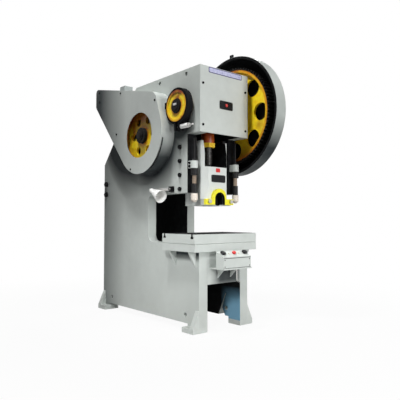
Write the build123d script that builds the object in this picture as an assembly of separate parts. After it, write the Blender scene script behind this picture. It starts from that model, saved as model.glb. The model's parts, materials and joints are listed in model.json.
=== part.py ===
from build123d import *
import math
import os

os.makedirs("parts", exist_ok=True)

# A crank press with an open front and a fixed bed, in millimetres.
# x runs to the right, y from front to rear and z up; the origin is on the floor, midway between the feet.
# Heights are taken from the floor, and depths from the front of the legs.

# Frame walls and cross plates
frame_width = 608
frame_depth = 1694
wall = 98
head_top = 2400
head_height = 608
head_depth = 1032
slope_foot = 1631
cheek_depth = 163
throat_top = 1250
throat_depth = 798
throat_radius = 70
bed_top = 785
wall_lift = 65
plate = 40
top_plate = 20
cover_thick = 15
slope_plate_thick = 30
slope_plate_length = 740
leg_opening = 420
rear_tie_low = 150
rear_tie_high = 640
overrun = 10
seat_gap = 0.05

# Lifting holes, the slot in the right wall and the rods that tie the columns
lift_hole = 19
lift_hole_edge = 45
lift_hole_front = 183
lift_hole_back = 603
sling_hole_height = 140
sling_hole_edge = 190
slot_depth_front = 200
slot_depth_waist = 247
slot_depth_back = 305
slot_depth_top = 190
slot_waist = 140
slot_height = 285
slot_tip = 12
tie_rod = 18
tie_nut = 30
tie_nut_thick = 24
tie_edge = 58
tie_height = 1288
tie_pitch = 117

# Bed table, its ribs and the bolster
table_width = 776
table_overhang = 39
table_back = 436
table_thick = 68
table_hole = 105
rib_thick = 24
rib_drop = 150
rib_inset = 8
rib_front = 42
rib_back = 328
bolster_thick = 90
bolster_hole = 80
slot_mouth = 22
slot_mouth_deep = 24
slot_base = 38
slot_base_deep = 18
slot_edge = 36
seam_chamfer = 5

# Feet
foot_spread = 68
foot_length = 160
pad_height = 45
flare_top = 195
flare_thick = 50
anchor_hole = 14
anchor_inset = 55

# Gears: the pinion on the drive shaft turns the back gear on the crankshaft
module = 12
gear_teeth = 80
pinion_teeth = 14
pressure_angle = math.radians(20)
addendum_share = 0.8
dedendum_share = 1.05
tooth_slack = 0.45
flank_steps = 2
drive_drop = 210
gear_start = 32
gear_width = 88
gear_web = 24
gear_rim = 27
gear_hub = 115
gear_hub_front = 18
gear_hole = 86
gear_hole_circle = 350
gear_holes = 8
pinion_extra = 3

# Crankshaft, its bearings and the band brake
crank_depth = 225
crank_drop = 350
throw = 50
journal = 62
running_gap = 0.05
bush_wall = 14
bush_flange = 22
bush_flange_thick = 12
pin_radius = 70
pin_length = 124
web_thick = 46
web_radius = 98
gear_seat = 55
crank_tail = 4
brake_seat = 40
brake_radius = 146
brake_start = 18
brake_width = 70
brake_rim = 22
brake_web = 26
brake_hub = 62
brake_end = 14
band_gap = 0.5
band_thick = 22
band_inset = 6
band_split = 34
lug_thick = 16
lug_drop = 59
anchor_height = 60
anchor_rise = 30
anchor_depth = 14
brake_bolt_radius = 8
brake_bolt_drop = 34
brake_bolt_ahead = 205
brake_bolt_behind = 60
bolt_head = 16
bolt_head_thick = 14
spring_radius = 17
spring_wire = 5
spring_turns = 7
spring_pitch = 15

# Connecting rod, adjusting screw and ball
rod_length = 660
rod_width = 116
rod_end = 104
rod_neck = 62
rod_foot_rise = 300
cap_gap = 0.5
rod_bolt = 13
rod_bolt_spread = 104
cap_ear = 24
cap_ear_high = 52
cap_nut = 22
spot_gap = 1
screw_radius = 38
screw_rise = 400
ball_radius = 50
ball_neck = 28
lock_nut_radius = 70
lock_nut_thick = 42

# Ram, its gibs and the die shank clamp
ram_width = 334
ram_ahead = 138
ram_behind = 140
ram_arm = 28
ram_chamfer = 52
ram_lean = 44
ram_below_ball = 305
ram_above_ball = 305
ram_floor_rise = 60
pocket_gap = 1
pocket_drop = 12
ridge_height = 20
ridge_half = 30
ridge_lift = 120
gib_gap = 0.5
gib_clear = 0.1
gib_half = 75
gib_behind = 45
gib_end = 12
gib_screw = 10
gib_screw_out = 26
gib_screw_count = 4
gib_screw_low = 39
gib_screw_pitch = 131
gib_nut = 22
gib_nut_thick = 16
shank_hole = 25
shank_depth = 70
shank_screw = 12
shank_screw_rise = 36
shank_screw_out = 28
shank_head = 17
clamp_width = 344
clamp_thick = 34
clamp_foot = 7
clamp_flange = 62
clamp_arch = 82
clamp_high = 159
arch_hole = 62
arch_rise = 62
arch_deep = 66
clamp_nut = 20
clamp_nut_thick = 18
clamp_nut_spread = 136
clamp_nut_rise = 38

# Drive shaft, flywheel and belts
shaft_radius = 45
shaft_bush = 14
shaft_tail = 10
flywheel_radius = 330
flywheel_start = 32
flywheel_width = 100
flywheel_rim = 46
flywheel_web = 30
flywheel_hub = 78
web_hole = 40
web_hole_circle = 168
web_holes = 6
belt_count = 3
belt_pitch = 25
groove_top = 20
groove_floor = 14
groove_depth = 14
belt_width = 12.6
belt_thick = 12
belt_gap = 0.5

# Motor
motor_back = 797
motor_rise = 505
pulley_radius = 70
motor_shaft = 21
motor_radius = 118
motor_fin = 16
motor_fins = 28
fin_share = 0.45
motor_start = 250
motor_length = 340
motor_end_radius = 96
motor_end_length = 30
cowl_length = 92
cowl_clear = 3
shaft_height = 132
motor_foot_width = 216
motor_foot_length = 180
motor_foot_thick = 18
terminal_box = 110
terminal_high = 88
terminal_from_end = 140
terminal_round = 7
bracket_plate = 20
bracket_reach = 130
bracket_top = 105
bracket_low = 470

# Guards
sheet = 4
guard_depth = 151
guard_round = 385
guard_window = 224
brow_ahead = 190
brow_rise = 290
brow_radius = 110
tail_back = 43
tail_rise = 80
tail_drop = 62
tail_radius = 42
guard_slot = 14
guard_slot_inset = 12
guard_slot_from = math.radians(190)
guard_slot_to = math.radians(245)
gear_guard_start = 13
gear_guard_depth = 128
gear_guard_radius = 600
gear_guard_lip = 26
pinion_guard_radius = 132
standoff_angles = [math.radians(-92), math.radians(-58), math.radians(34)]
lug_width = 44
lug_plate = 14
lug_high = 30
lug_hole = 9

# Knock-out stops on the front of the cheeks
stop_x = 262
stop_ahead = 47
stop_bracket_width = 68
stop_bracket_low = 1473
stop_bracket_high = 69
stop_thread = 19
stop_stem = 8
stop_stem_rise = 190
stop_knob = 33
stop_knob_high = 62
stop_collar = 26
stop_collar_drop = 140
stop_collar_high = 90
stop_foot = 32
stop_foot_high = 80
stop_foot_round = 20

# Two-hand control box on its tray
tray_top = 572
tray_thick = 12
tray_reach = 186
tray_rib = 10
tray_rib_drop = 90
box_width = 342
box_front = 176
box_deep = 99
box_low = 100
box_high = 149
button_spread = 135
palm_radius = 26
palm_high = 14
palm_round = 6
palm_stem = 13
palm_travel = 6
palm_rise = 9
stop_button_radius = 19
button_bore_deep = 34
button_gap = 0.1
lamp_spread = 62
pilot_radius = 8
pilot_high = 9
hook_x = 64
hook_ahead = 100
hook_radius = 6
hook_drop = 120
hook_reach = 44
hook_bend = 24

# Work lamp on the left cheek
lamp_depth = 387
lamp_height = 1292
lamp_reach = 80
lamp_arm_beside = 34
lamp_arm_length = 246
lamp_arm_wide = 26
lamp_arm_thick = 14
lamp_pin = 8
lamp_block = 52
lamp_side_gap = 1
lamp_boss = 15
lamp_boss_half = 12
lamp_side = 3
shade_tilt = 112.7
shade_neck = 24
shade_rim = 64
shade_length = 168
shade_wall = 2.5
bulb_radius = 27
bulb_neck = 13
bulb_out = 84

# Places worked out from the sizes above
half_width = frame_width / 2
inner = half_width - wall
front = -frame_depth / 2
rear = frame_depth / 2
head_bottom = head_top - head_height
head_rear = front + head_depth
cheek_front = front + cheek_depth
throat_rear = front + throat_depth
table_seat = bed_top - table_thick
table_front = front - table_overhang
table_rear = front + table_back
bolster_top = bed_top + bolster_thick
crank_y = front + crank_depth
crank_z = head_top - crank_drop
pin_z = crank_z + throw
ball_z = pin_z - rod_length
gear_pitch = module * gear_teeth / 2
pinion_pitch = module * pinion_teeth / 2
axle_gap = gear_pitch + pinion_pitch
drive_y = crank_y + math.sqrt(axle_gap ** 2 - drive_drop ** 2)
drive_z = crank_z - drive_drop
mesh_angle = math.atan2(drive_z - crank_z, drive_y - crank_y)
motor_y = drive_y + motor_back
motor_z = drive_z + motor_rise
gear_x = half_width + gear_start
gear_web_x = gear_x + (gear_width - gear_web) / 2
flywheel_x = -half_width - flywheel_start - flywheel_width
guard_x = -half_width - guard_depth
gear_guard_x = half_width + gear_guard_start
gear_guard_end = gear_guard_x + gear_guard_depth
crank_bore = journal + bush_wall
shaft_bore = shaft_radius + shaft_bush
brake_x = -half_width - brake_start - brake_width
brake_end_x = brake_x - brake_end
band_outer = brake_radius + band_gap + band_thick
lug_bottom = crank_z - band_outer - lug_drop
bolt_z = lug_bottom + brake_bolt_drop
ram_half = ram_width / 2
ram_front = crank_y - ram_ahead
ram_rear = crank_y + ram_behind
ram_bottom = ball_z - ram_below_ball
ram_top = ball_z + ram_above_ball
ram_floor = ball_z + ram_floor_rise
slot_half = ram_half - ram_arm
gib_y = crank_y + gib_behind
gib_low = throat_top + gib_end
gib_high = head_bottom - gib_end
rod_foot = ball_z + rod_foot_rise
clamp_front = ram_front - clamp_thick
arch_z = ram_bottom + arch_rise
lamp_y = front + lamp_depth
lamp_x = -half_width - lamp_reach
shade_y = lamp_y + lamp_arm_length
belt_middle = flywheel_x + flywheel_width / 2
box_y = front - box_front
panel_slope = math.atan2(box_high - box_low, box_deep)
fin_half = math.pi / motor_fins * fin_share


def block(x0, x1, y0, y1, z0, z1):
    """A block between two opposite corners."""
    return Pos(x0, y0, z0) * Box(x1 - x0, y1 - y0, z1 - z0, align=(Align.MIN, Align.MIN, Align.MIN))


def across(profile, x0, x1):
    """Carry a profile drawn in y and z from x0 to x1."""
    return extrude(Plane.YZ.offset(x0) * profile, x1 - x0)


def bar_x(y, z, radius, x0, x1):
    """A round bar along x."""
    return across(Pos(y, z) * Circle(radius), x0, x1)


def bar_y(x, z, radius, y0, y1):
    """A round bar along y."""
    upright = Cylinder(radius, y1 - y0, align=(Align.CENTER, Align.CENTER, Align.MIN))
    return Pos(x, y0, z) * Rot(X=-90) * upright


def bar_z(x, y, radius, z0, z1):
    """A round bar along z."""
    return Pos(x, y, z0) * Cylinder(radius, z1 - z0, align=(Align.CENTER, Align.CENTER, Align.MIN))


def hex_x(y, z, radius, x0, x1):
    """A hexagon nut along x."""
    return across(Pos(y, z) * RegularPolygon(radius, 6), x0, x1)


def hex_y(x, z, radius, y0, y1):
    """A hexagon nut along y."""
    nut = extrude(RegularPolygon(radius, 6), y1 - y0)
    return Pos(x, y0, z) * Rot(X=-90) * nut


def spun_x(points, y, z):
    """Turn a half section, given as x and radius, about an axis along x."""
    return Pos(0, y, z) * revolve(make_face(Polyline(*points, close=True)), Axis.X)


def spun_z(points):
    """Turn a half section, given as radius and height, about the z axis."""
    return revolve(Plane.XZ * make_face(Polyline(*points, close=True)), Axis.Z)


def polygon(points):
    """A face with straight sides."""
    return make_face(Polyline(*points, close=True))


def polar(y, z, radius, angle):
    """The point at an angle on a circle in the y z plane."""
    return (y + radius * math.cos(angle), z + radius * math.sin(angle))


def taut_outline(rounds):
    """The face inside a taut line round circles (y, z, radius), named in turn against the clock."""
    normals = []
    for first, second in zip(rounds, rounds[1:] + rounds[:1]):
        step = Vector(second[0] - first[0], second[1] - first[1])
        lean = math.acos((first[2] - second[2]) / step.length)
        normals.append(math.atan2(step.Y, step.X) - lean)
    edges = []
    for index, (y, z, radius) in enumerate(rounds):
        turn_in = normals[index - 1]
        sweep = (normals[index] - turn_in) % (2 * math.pi)
        start = polar(y, z, radius, turn_in)
        middle = polar(y, z, radius, turn_in + sweep / 2)
        end = polar(y, z, radius, turn_in + sweep)
        following = rounds[(index + 1) % len(rounds)]
        edges.append(ThreePointArc(start, middle, end))
        edges.append(Line(end, polar(*following, normals[index])))
    return make_face(edges)


def mirrored(shape):
    """The same piece on the other side of the machine."""
    return mirror(shape, about=Plane.YZ)


def slope_height(y):
    """Height of the sloping rear edge of the walls at depth y."""
    fall = (head_top - slope_foot) / (rear - head_rear)
    return head_top - fall * (y - head_rear)


def wall_outline():
    """Side of the frame: leg, bed, throat, cheek, head and sloping rear."""
    face = polygon([
        (front, pad_height), (front, table_seat), (table_rear, table_seat), (table_rear, bed_top),
        (throat_rear, bed_top), (throat_rear, throat_top), (cheek_front, throat_top), (cheek_front, head_bottom),
        (front, head_bottom), (front, head_top), (head_rear, head_top), (rear, slope_foot), (rear, pad_height),
        (rear - foot_length, pad_height), (rear - foot_length, wall_lift), (front + foot_length, wall_lift),
        (front + foot_length, pad_height),
    ])
    corners = [(throat_rear, bed_top), (throat_rear, throat_top)]
    inside = [face.vertices().sort_by_distance((y, z, 0))[0] for y, z in corners]
    return fillet(inside, throat_radius)


def tie_places():
    """Depth and height of each tie rod."""
    return [(rear - tie_edge, tie_height + tie_pitch * row) for row in range(2)]


def gib_screw_heights():
    """Heights of the set screws that press on the left gib."""
    return [throat_top + gib_screw_low + gib_screw_pitch * row for row in range(gib_screw_count)]


def plain_wall():
    """The left wall before its own holes, with the bores that both walls share."""
    body = across(wall_outline(), -half_width, -inner)
    bores = [(crank_y, crank_z, crank_bore + seat_gap), (drive_y, drive_z, shaft_bore + seat_gap)]
    bores += [(y, z, tie_rod + seat_gap) for y, z in tie_places()]
    bores += [(y, sling_hole_height, lift_hole) for y in (front + sling_hole_edge, rear - sling_hole_edge)]
    for y, z, radius in bores:
        body -= bar_x(y, z, radius, -half_width - overrun, -inner + overrun)
    return body


def left_side_wall():
    """Left wall, drilled for the set screws of its gib and for two lifting pins."""
    body = plain_wall()
    for depth in (lift_hole_front, lift_hole_back):
        z = head_top - lift_hole_edge
        body -= bar_x(front + depth, z, lift_hole, -half_width - overrun, -inner + overrun)
    for z in gib_screw_heights():
        body -= bar_x(gib_y, z, gib_screw + seat_gap, -half_width - overrun, -inner + overrun)
    return body


def right_side_wall():
    """Right wall, with a horn-shaped slot up from its lower edge."""
    slot = polygon([
        (front + slot_depth_front, wall_lift - overrun), (front + slot_depth_waist, slot_waist),
        (front + slot_depth_top, slot_height), (front + slot_depth_top + slot_tip, slot_height),
        (front + slot_depth_back, wall_lift - overrun),
    ])
    return mirrored(plain_wall()) - across(slot, inner - overrun, half_width + overrun)


def rib(y):
    """A triangular rib under the overhang of the table, on the right."""
    corner = table_width / 2 - rib_inset
    outline = polygon([(half_width, table_seat), (half_width, table_seat - rib_drop), (corner, table_seat)])
    return Pos(0, y + rib_thick, 0) * extrude(Plane.XZ * outline, rib_thick)


def bed_table():
    """Table welded on the walls, with a drop hole and ribs under its overhangs."""
    half = table_width / 2
    body = block(-half, half, table_front, table_rear, table_seat, bed_top)
    middle = (table_front + table_rear) / 2
    body -= bar_z(0, middle, table_hole, table_seat - overrun, bed_top + overrun)
    for depth in (rib_front, rib_back):
        body += rib(front + depth)
        body += mirrored(rib(front + depth))
    return body


def bolster_plate():
    """Bolster with two T-slots across it and a drop hole."""
    half = table_width / 2
    body = block(-half, half, table_front, table_rear, bed_top, bolster_top)
    body = chamfer(body.faces().sort_by(Axis.Z)[0].edges(), seam_chamfer)
    middle = (table_front + table_rear) / 2
    body -= bar_z(0, middle, bolster_hole, bed_top - overrun, bolster_top + overrun)
    for y in (table_front + slot_edge, table_rear - slot_edge):
        mouth_floor = bolster_top - slot_mouth_deep
        base_floor = mouth_floor - slot_base_deep
        left = -half - overrun
        right = half + overrun
        body -= block(left, right, y - slot_mouth / 2, y + slot_mouth / 2, mouth_floor, bolster_top + overrun)
        body -= block(left, right, y - slot_base / 2, y + slot_base / 2, base_floor, mouth_floor)
    return body


def slope_plate():
    """Plate between the walls, flush with their sloping rear edge and butted on the top plate."""
    along = Vector(rear - head_rear, slope_foot - head_top).normalized()
    inward = Vector(along.Y, -along.X)
    foot = Vector(head_rear, head_top) + along * slope_plate_length
    foot_inside = foot + inward * slope_plate_thick
    butt = head_rear - plate
    outline = polygon([
        (butt, head_top - top_plate), (butt, head_top), (head_rear, head_top), (foot.X, foot.Y),
        (foot_inside.X, foot_inside.Y),
    ])
    return across(outline, -inner, inner)


def feet():
    """Four feet: a pad with an anchor hole and a flared gusset at its outer end."""
    outside = -half_width - foot_spread
    pad = block(outside, -inner, front, front + foot_length, 0, pad_height)
    outline = polygon([(-half_width, pad_height), (outside, pad_height), (-half_width, flare_top)])
    flare = Pos(0, front + flare_thick, 0) * extrude(Plane.XZ * outline, flare_thick)
    foot = pad + flare
    hole_y = front + foot_length - anchor_inset
    foot -= bar_z(-half_width - foot_spread / 2, hole_y, anchor_hole, -overrun, pad_height + overrun)
    left = [foot, mirror(foot, about=Plane.XZ)]
    return left + [mirrored(piece) for piece in left]


def rear_tie_rods():
    """Rods through both columns with a nut at each end."""
    rods = []
    for y, z in tie_places():
        rod = bar_x(y, z, tie_rod, -half_width - tie_nut_thick, half_width + tie_nut_thick)
        rod += hex_x(y, z, tie_nut, -half_width - tie_nut_thick, -half_width)
        rod += hex_x(y, z, tie_nut, half_width, half_width + tie_nut_thick)
        rods.append(rod)
    return rods


def gear_outline(teeth, pitch_radius, first_tooth):
    """Outline of a spur gear with involute flanks about the origin; the first tooth points at an angle."""
    tip = pitch_radius + module * addendum_share
    root = pitch_radius - module * dedendum_share
    base = pitch_radius * math.cos(pressure_angle)
    half_tooth = math.pi / (2 * teeth) - tooth_slack / pitch_radius
    lean = math.tan(pressure_angle) - pressure_angle
    start = max(base, root)
    flank = []
    for step in range(flank_steps + 1):
        radius = start + (tip - start) * step / flank_steps
        roll = math.acos(base / radius)
        flank.append((radius, half_tooth + lean - math.tan(roll) + roll))
    if root < base:
        flank.insert(0, (root, flank[0][1]))
    points = []
    for tooth in range(teeth):
        middle = first_tooth + 2 * math.pi * tooth / teeth
        points += [polar(0, 0, radius, middle - half) for radius, half in flank]
        points += [polar(0, 0, radius, middle + half) for radius, half in reversed(flank)]
    return polygon(points)


def bull_gear():
    """Back gear: toothed rim, thin web and a hub that runs on the crankshaft."""
    place = Pos(crank_y, crank_z)
    root = gear_pitch - module * dedendum_share
    end = gear_x + gear_width
    hub_x = half_width + gear_hub_front
    body = across(place * gear_outline(gear_teeth, gear_pitch, mesh_angle), gear_x, end)
    recess = place * (Circle(root - gear_rim) - Circle(gear_hub))
    body -= across(recess, gear_x - overrun, gear_web_x)
    body -= across(recess, gear_web_x + gear_web, end + overrun)
    body += bar_x(crank_y, crank_z, gear_hub, hub_x, gear_x)
    for index in range(gear_holes):
        y, z = polar(crank_y, crank_z, gear_hole_circle, 2 * math.pi * index / gear_holes)
        body -= bar_x(y, z, gear_hole, gear_web_x - overrun, gear_web_x + gear_web + overrun)
    body -= bar_x(crank_y, crank_z, gear_seat + running_gap, hub_x - overrun, end + overrun)
    return body


def drive_pinion():
    """Pinion on the drive shaft, in mesh with the back gear."""
    gap_at_gear = mesh_angle + math.pi + math.pi / pinion_teeth
    outline = gear_outline(pinion_teeth, pinion_pitch, gap_at_gear)
    face = Pos(drive_y, drive_z) * (outline - Circle(shaft_radius + seat_gap))
    return across(face, gear_x - pinion_extra, gear_x + gear_width + pinion_extra)


def crankshaft():
    """One-throw crankshaft, drawn with its pin at the top of the stroke."""
    pin_half = pin_length / 2
    web_end = pin_half + web_thick
    left_step = -half_width - brake_start + running_gap
    right_step = half_width + gear_hub_front - running_gap
    gear_end = gear_guard_end - sheet - crank_tail
    body = bar_x(crank_y, pin_z, pin_radius, -pin_half, pin_half)
    cheek = taut_outline([(crank_y, crank_z, web_radius), (crank_y, pin_z, web_radius)])
    body += across(cheek, pin_half, web_end)
    body += across(cheek, -web_end, -pin_half)
    body += bar_x(crank_y, crank_z, journal, web_end, right_step)
    body += bar_x(crank_y, crank_z, gear_seat, right_step, gear_end)
    body += bar_x(crank_y, crank_z, journal, left_step, -web_end)
    body += bar_x(crank_y, crank_z, brake_seat, brake_end_x, left_step)
    return body


def bushes(y, z, bore, wall_bore):
    """A flanged bush in each wall."""
    flange = wall_bore + bush_flange
    outside = half_width + bush_flange_thick
    right = spun_x([
        (inner, bore + running_gap), (inner, wall_bore), (half_width, wall_bore), (half_width, flange),
        (outside, flange), (outside, bore + running_gap),
    ], y, z)
    return [mirrored(right), right]


def brake_drum():
    """Brake drum keyed on the left end of the crankshaft."""
    end = brake_x + brake_width
    web_x = brake_x + band_inset
    return spun_x([
        (brake_end_x + band_inset, brake_seat + seat_gap), (brake_end_x + band_inset, brake_hub), (web_x, brake_hub),
        (web_x, brake_radius - brake_rim), (brake_x, brake_radius - brake_rim), (brake_x, brake_radius),
        (end, brake_radius), (end, brake_radius - brake_rim), (web_x + brake_web, brake_radius - brake_rim),
        (web_x + brake_web, brake_hub), (end, brake_hub), (end, brake_seat + seat_gap),
    ], crank_y, crank_z)


def brake_band():
    """Split band round the drum, with a lug at each end below it."""
    low = brake_x + band_inset
    high = brake_x + brake_width - band_inset
    lined = brake_radius + band_gap
    half_split = band_split / 2
    face = Pos(crank_y, crank_z) * (Circle(band_outer) - Circle(lined))
    lug = polygon([
        (crank_y - half_split - lug_thick, lug_bottom), (crank_y + half_split + lug_thick, lug_bottom),
        (crank_y + half_split + lug_thick, crank_z - lined), (crank_y - half_split - lug_thick, crank_z - lined),
    ])
    face += lug - Pos(crank_y, crank_z) * Circle(lined)
    gap = polygon([
        (crank_y - half_split, lug_bottom - overrun), (crank_y + half_split, lug_bottom - overrun),
        (crank_y + half_split, crank_z - lined + overrun), (crank_y - half_split, crank_z - lined + overrun),
    ])
    body = across(face - gap, low, high)
    reach = half_split + lug_thick + overrun
    middle = (low + high) / 2
    return body - bar_y(middle, bolt_z, brake_bolt_radius + seat_gap, crank_y - reach, crank_y + reach)


def brake_anchor():
    """Bracket on the wall that holds the band from turning."""
    high = crank_z + anchor_rise + anchor_height / 2
    low = crank_z + anchor_rise - anchor_height / 2
    near = crank_y + band_outer - band_thick
    body = block(brake_x + band_inset, -half_width, near, crank_y + band_outer + anchor_depth, low, high)
    return body - bar_x(crank_y, crank_z, band_outer + seat_gap, brake_x - overrun, -half_width + overrun)


def brake_bolt():
    """Bolt that draws the ends of the band together, with its head behind and a nut in front of the spring."""
    middle = brake_x + brake_width / 2
    start = crank_y - brake_bolt_ahead
    rear_lug = crank_y + band_split / 2 + lug_thick
    front_lug = crank_y - band_split / 2 - lug_thick
    spring_end = front_lug - spring_turns * spring_pitch
    body = bar_y(middle, bolt_z, brake_bolt_radius, start, crank_y + brake_bolt_behind)
    body += hex_y(middle, bolt_z, bolt_head, rear_lug, rear_lug + bolt_head_thick)
    body += hex_y(middle, bolt_z, bolt_head + spring_wire, spring_end - bolt_head_thick, spring_end)
    return body


def brake_spring():
    """Coil spring on the brake bolt, made as rings that touch one another."""
    middle = brake_x + brake_width / 2
    front_lug = crank_y - band_split / 2 - lug_thick
    bore = spring_radius - spring_wire
    points = [(bore, 0)]
    for turn in range(spring_turns):
        points += [(bore + spring_wire / 2, turn * spring_pitch)]
        points += [(spring_radius + spring_wire, (turn * 2 + 1) * spring_pitch / 2)]
    points += [(bore + spring_wire / 2, spring_turns * spring_pitch), (bore, spring_turns * spring_pitch)]
    return Pos(middle, front_lug, bolt_z) * Rot(X=90) * spun_z(points)


def connecting_rod():
    """Rod with a half bearing on the crank pin, a tapered shank and a bored foot."""
    half = rod_width / 2
    bore = pin_radius + running_gap
    ear = rod_bolt_spread + cap_ear
    flat = cap_gap / 2
    shank = taut_outline([(crank_y, pin_z, rod_end), (crank_y, rod_foot + rod_neck + screw_rise / 2, rod_neck)])
    upper = across(shank, -half, half)
    upper += across(polygon([
        (crank_y - ear, pin_z - cap_ear_high), (crank_y + ear, pin_z - cap_ear_high),
        (crank_y + ear, pin_z), (crank_y - ear, pin_z),
    ]), -half, half)
    body = upper + bar_z(0, crank_y, rod_neck, rod_foot, rod_foot + screw_rise / 2 + rod_neck)
    body -= bar_x(crank_y, pin_z, bore, -half - overrun, half + overrun)
    body -= block(-half - overrun, half + overrun, crank_y - ear - overrun, crank_y + ear + overrun,
                  pin_z - flat, pin_z + rod_end + overrun)
    body -= bar_z(0, crank_y, screw_radius + seat_gap, rod_foot - overrun, ball_z + screw_rise + overrun)
    for y in (crank_y - rod_bolt_spread, crank_y + rod_bolt_spread):
        body -= bar_z(0, y, rod_bolt + seat_gap, pin_z - cap_ear_high - overrun, pin_z + overrun)
        body -= bar_z(0, y, cap_nut + spot_gap, pin_z - rod_end, pin_z - cap_ear_high)
    return body


def rod_cap():
    """Upper half of the crank pin bearing."""
    half = rod_width / 2
    ear = rod_bolt_spread + cap_ear
    flat = cap_gap / 2
    body = bar_x(crank_y, pin_z, rod_end, -half, half)
    body += across(polygon([
        (crank_y - ear, pin_z), (crank_y + ear, pin_z), (crank_y + ear, pin_z + cap_ear_high),
        (crank_y - ear, pin_z + cap_ear_high),
    ]), -half, half)
    body -= bar_x(crank_y, pin_z, pin_radius + running_gap, -half - overrun, half + overrun)
    body -= block(-half - overrun, half + overrun, crank_y - ear - overrun, crank_y + ear + overrun,
                  pin_z - rod_end - overrun, pin_z + flat)
    for y in (crank_y - rod_bolt_spread, crank_y + rod_bolt_spread):
        body -= bar_z(0, y, rod_bolt + seat_gap, pin_z - overrun, pin_z + rod_end)
        body -= bar_z(0, y, cap_nut + spot_gap, pin_z + cap_ear_high, pin_z + rod_end)
    return body


def rod_bolts():
    """Two bolts through the ears of the rod and its cap, with nuts above and below."""
    bolts = []
    for y in (crank_y - rod_bolt_spread, crank_y + rod_bolt_spread):
        high = pin_z + cap_ear_high
        low = pin_z - cap_ear_high
        bolt = bar_z(0, y, rod_bolt, low - rod_bolt, high + rod_bolt)
        bolt += Pos(0, y, high) * extrude(RegularPolygon(cap_nut, 6), rod_bolt)
        bolt += Pos(0, y, low - rod_bolt) * extrude(RegularPolygon(cap_nut, 6), rod_bolt)
        bolts.append(bolt)
    return bolts


def adjusting_screw():
    """Screw in the foot of the rod, ending in a ball inside the ram."""
    body = Pos(0, crank_y, ball_z) * Sphere(ball_radius)
    body += bar_z(0, crank_y, ball_neck, ball_z, ball_z + ram_floor_rise + ball_neck)
    body += bar_z(0, crank_y, screw_radius, ball_z + ram_floor_rise + ball_neck, ball_z + screw_rise)
    return body


def lock_nut():
    """Nut that locks the screw against the foot of the rod."""
    nut = Pos(0, crank_y, rod_foot - lock_nut_thick) * extrude(RegularPolygon(lock_nut_radius, 6), lock_nut_thick)
    return nut - bar_z(0, crank_y, screw_radius + seat_gap, rod_foot - lock_nut_thick - overrun, rod_foot + overrun)


def ridge_points(spare):
    """Corners of the V-shaped guide on the right of the ram, with spare room all round for its groove."""
    shift = spare * math.hypot(ridge_half, ridge_height) / ridge_half
    base = ridge_half + shift * ridge_half / ridge_height
    return [(ram_half, gib_y - base), (ram_half + ridge_height + shift, gib_y), (ram_half, gib_y + base)]


def arch_face():
    """The hole in the clamp: an arch on straight legs, drawn in x and z."""
    low = ram_bottom + clamp_foot
    legs = polygon([(-arch_hole, low), (arch_hole, low), (arch_hole, arch_z), (-arch_hole, arch_z)])
    return legs + Pos(0, arch_z) * Circle(arch_hole)


def through_y(profile, y0, y1):
    """Carry a profile drawn in x and z from y0 to y1."""
    return Pos(0, y1, 0) * extrude(Plane.XZ * profile, y1 - y0)


def ram_guides():
    """The V-shaped guides on both sides of the ram."""
    low = ram_bottom + ridge_lift
    guide = Pos(0, 0, low) * extrude(polygon(ridge_points(0)), ram_top - low)
    return [guide, mirrored(guide)]


def ram():
    """Ram with chamfered front, leaning arms, a pocket for the ball and a bore for the die shank."""
    body = block(-ram_half, ram_half, ram_front, ram_rear, ram_bottom, ram_top)
    corner = polygon([
        (ram_half, ram_front), (ram_half, ram_front + ram_chamfer), (ram_half - ram_chamfer, ram_front),
    ])
    flange_top = ram_bottom + clamp_flange
    bevel = Pos(0, 0, flange_top) * extrude(corner, ram_top - flange_top)
    body -= bevel
    body -= mirrored(bevel)
    lean = polygon([(ram_front, ram_floor), (ram_front + ram_lean, ram_top), (ram_front, ram_top)])
    body -= across(lean, -ram_half - overrun, ram_half + overrun)
    body -= block(-slot_half, slot_half, ram_front - overrun, ram_rear + overrun, ram_floor, ram_top + overrun)
    for guide in ram_guides():
        body += guide
    pocket = ball_radius + pocket_gap
    pocket_floor = ball_z - ball_radius - pocket_drop
    body -= bar_z(0, crank_y, pocket, pocket_floor, ram_floor + overrun)
    body -= bar_z(0, crank_y + throw, pocket, pocket_floor, ram_floor + overrun)
    body -= block(-pocket, pocket, crank_y, crank_y + throw, pocket_floor, ram_floor + overrun)
    body -= through_y(arch_face(), ram_front - overrun, ram_front + arch_deep)
    body -= bar_z(0, crank_y, shank_hole, ram_bottom - overrun, ram_bottom + shank_depth)
    return body - bar_y(0, ram_bottom + shank_screw_rise, shank_screw + seat_gap, ram_front, crank_y)


def shank_clamp():
    """Arched clamp with two flanges on the lower front of the ram."""
    half = clamp_width / 2
    low = ram_bottom + clamp_foot
    flange = ram_bottom + clamp_flange
    middle = ram_bottom + clamp_high - clamp_arch
    outline = polygon([(-half, low), (half, low), (half, flange), (-half, flange)])
    outline += polygon([(-clamp_arch, low), (clamp_arch, low), (clamp_arch, middle), (-clamp_arch, middle)])
    crown = Circle(clamp_arch) & Pos(0, clamp_arch) * Rectangle(2 * clamp_arch, 2 * clamp_arch)
    outline += Pos(0, middle) * crown
    body = through_y(outline, clamp_front, ram_front)
    return body - through_y(arch_face(), clamp_front - overrun, ram_front + overrun)


def clamp_nuts():
    """Nuts on the two studs of the clamp."""
    z = ram_bottom + clamp_nut_rise
    places = (-clamp_nut_spread, clamp_nut_spread)
    return [hex_y(x, z, clamp_nut, clamp_front - clamp_nut_thick, clamp_front) for x in places]


def shank_set_screw():
    """Square-headed screw in the arch that presses on the die shank."""
    z = ram_bottom + shank_screw_rise
    neck = ram_front + arch_deep - shank_screw_out
    body = bar_y(0, z, shank_screw, neck, crank_y - shank_hole)
    return body + block(-shank_head, shank_head, neck - shank_head, neck, z - shank_head, z + shank_head)


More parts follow.
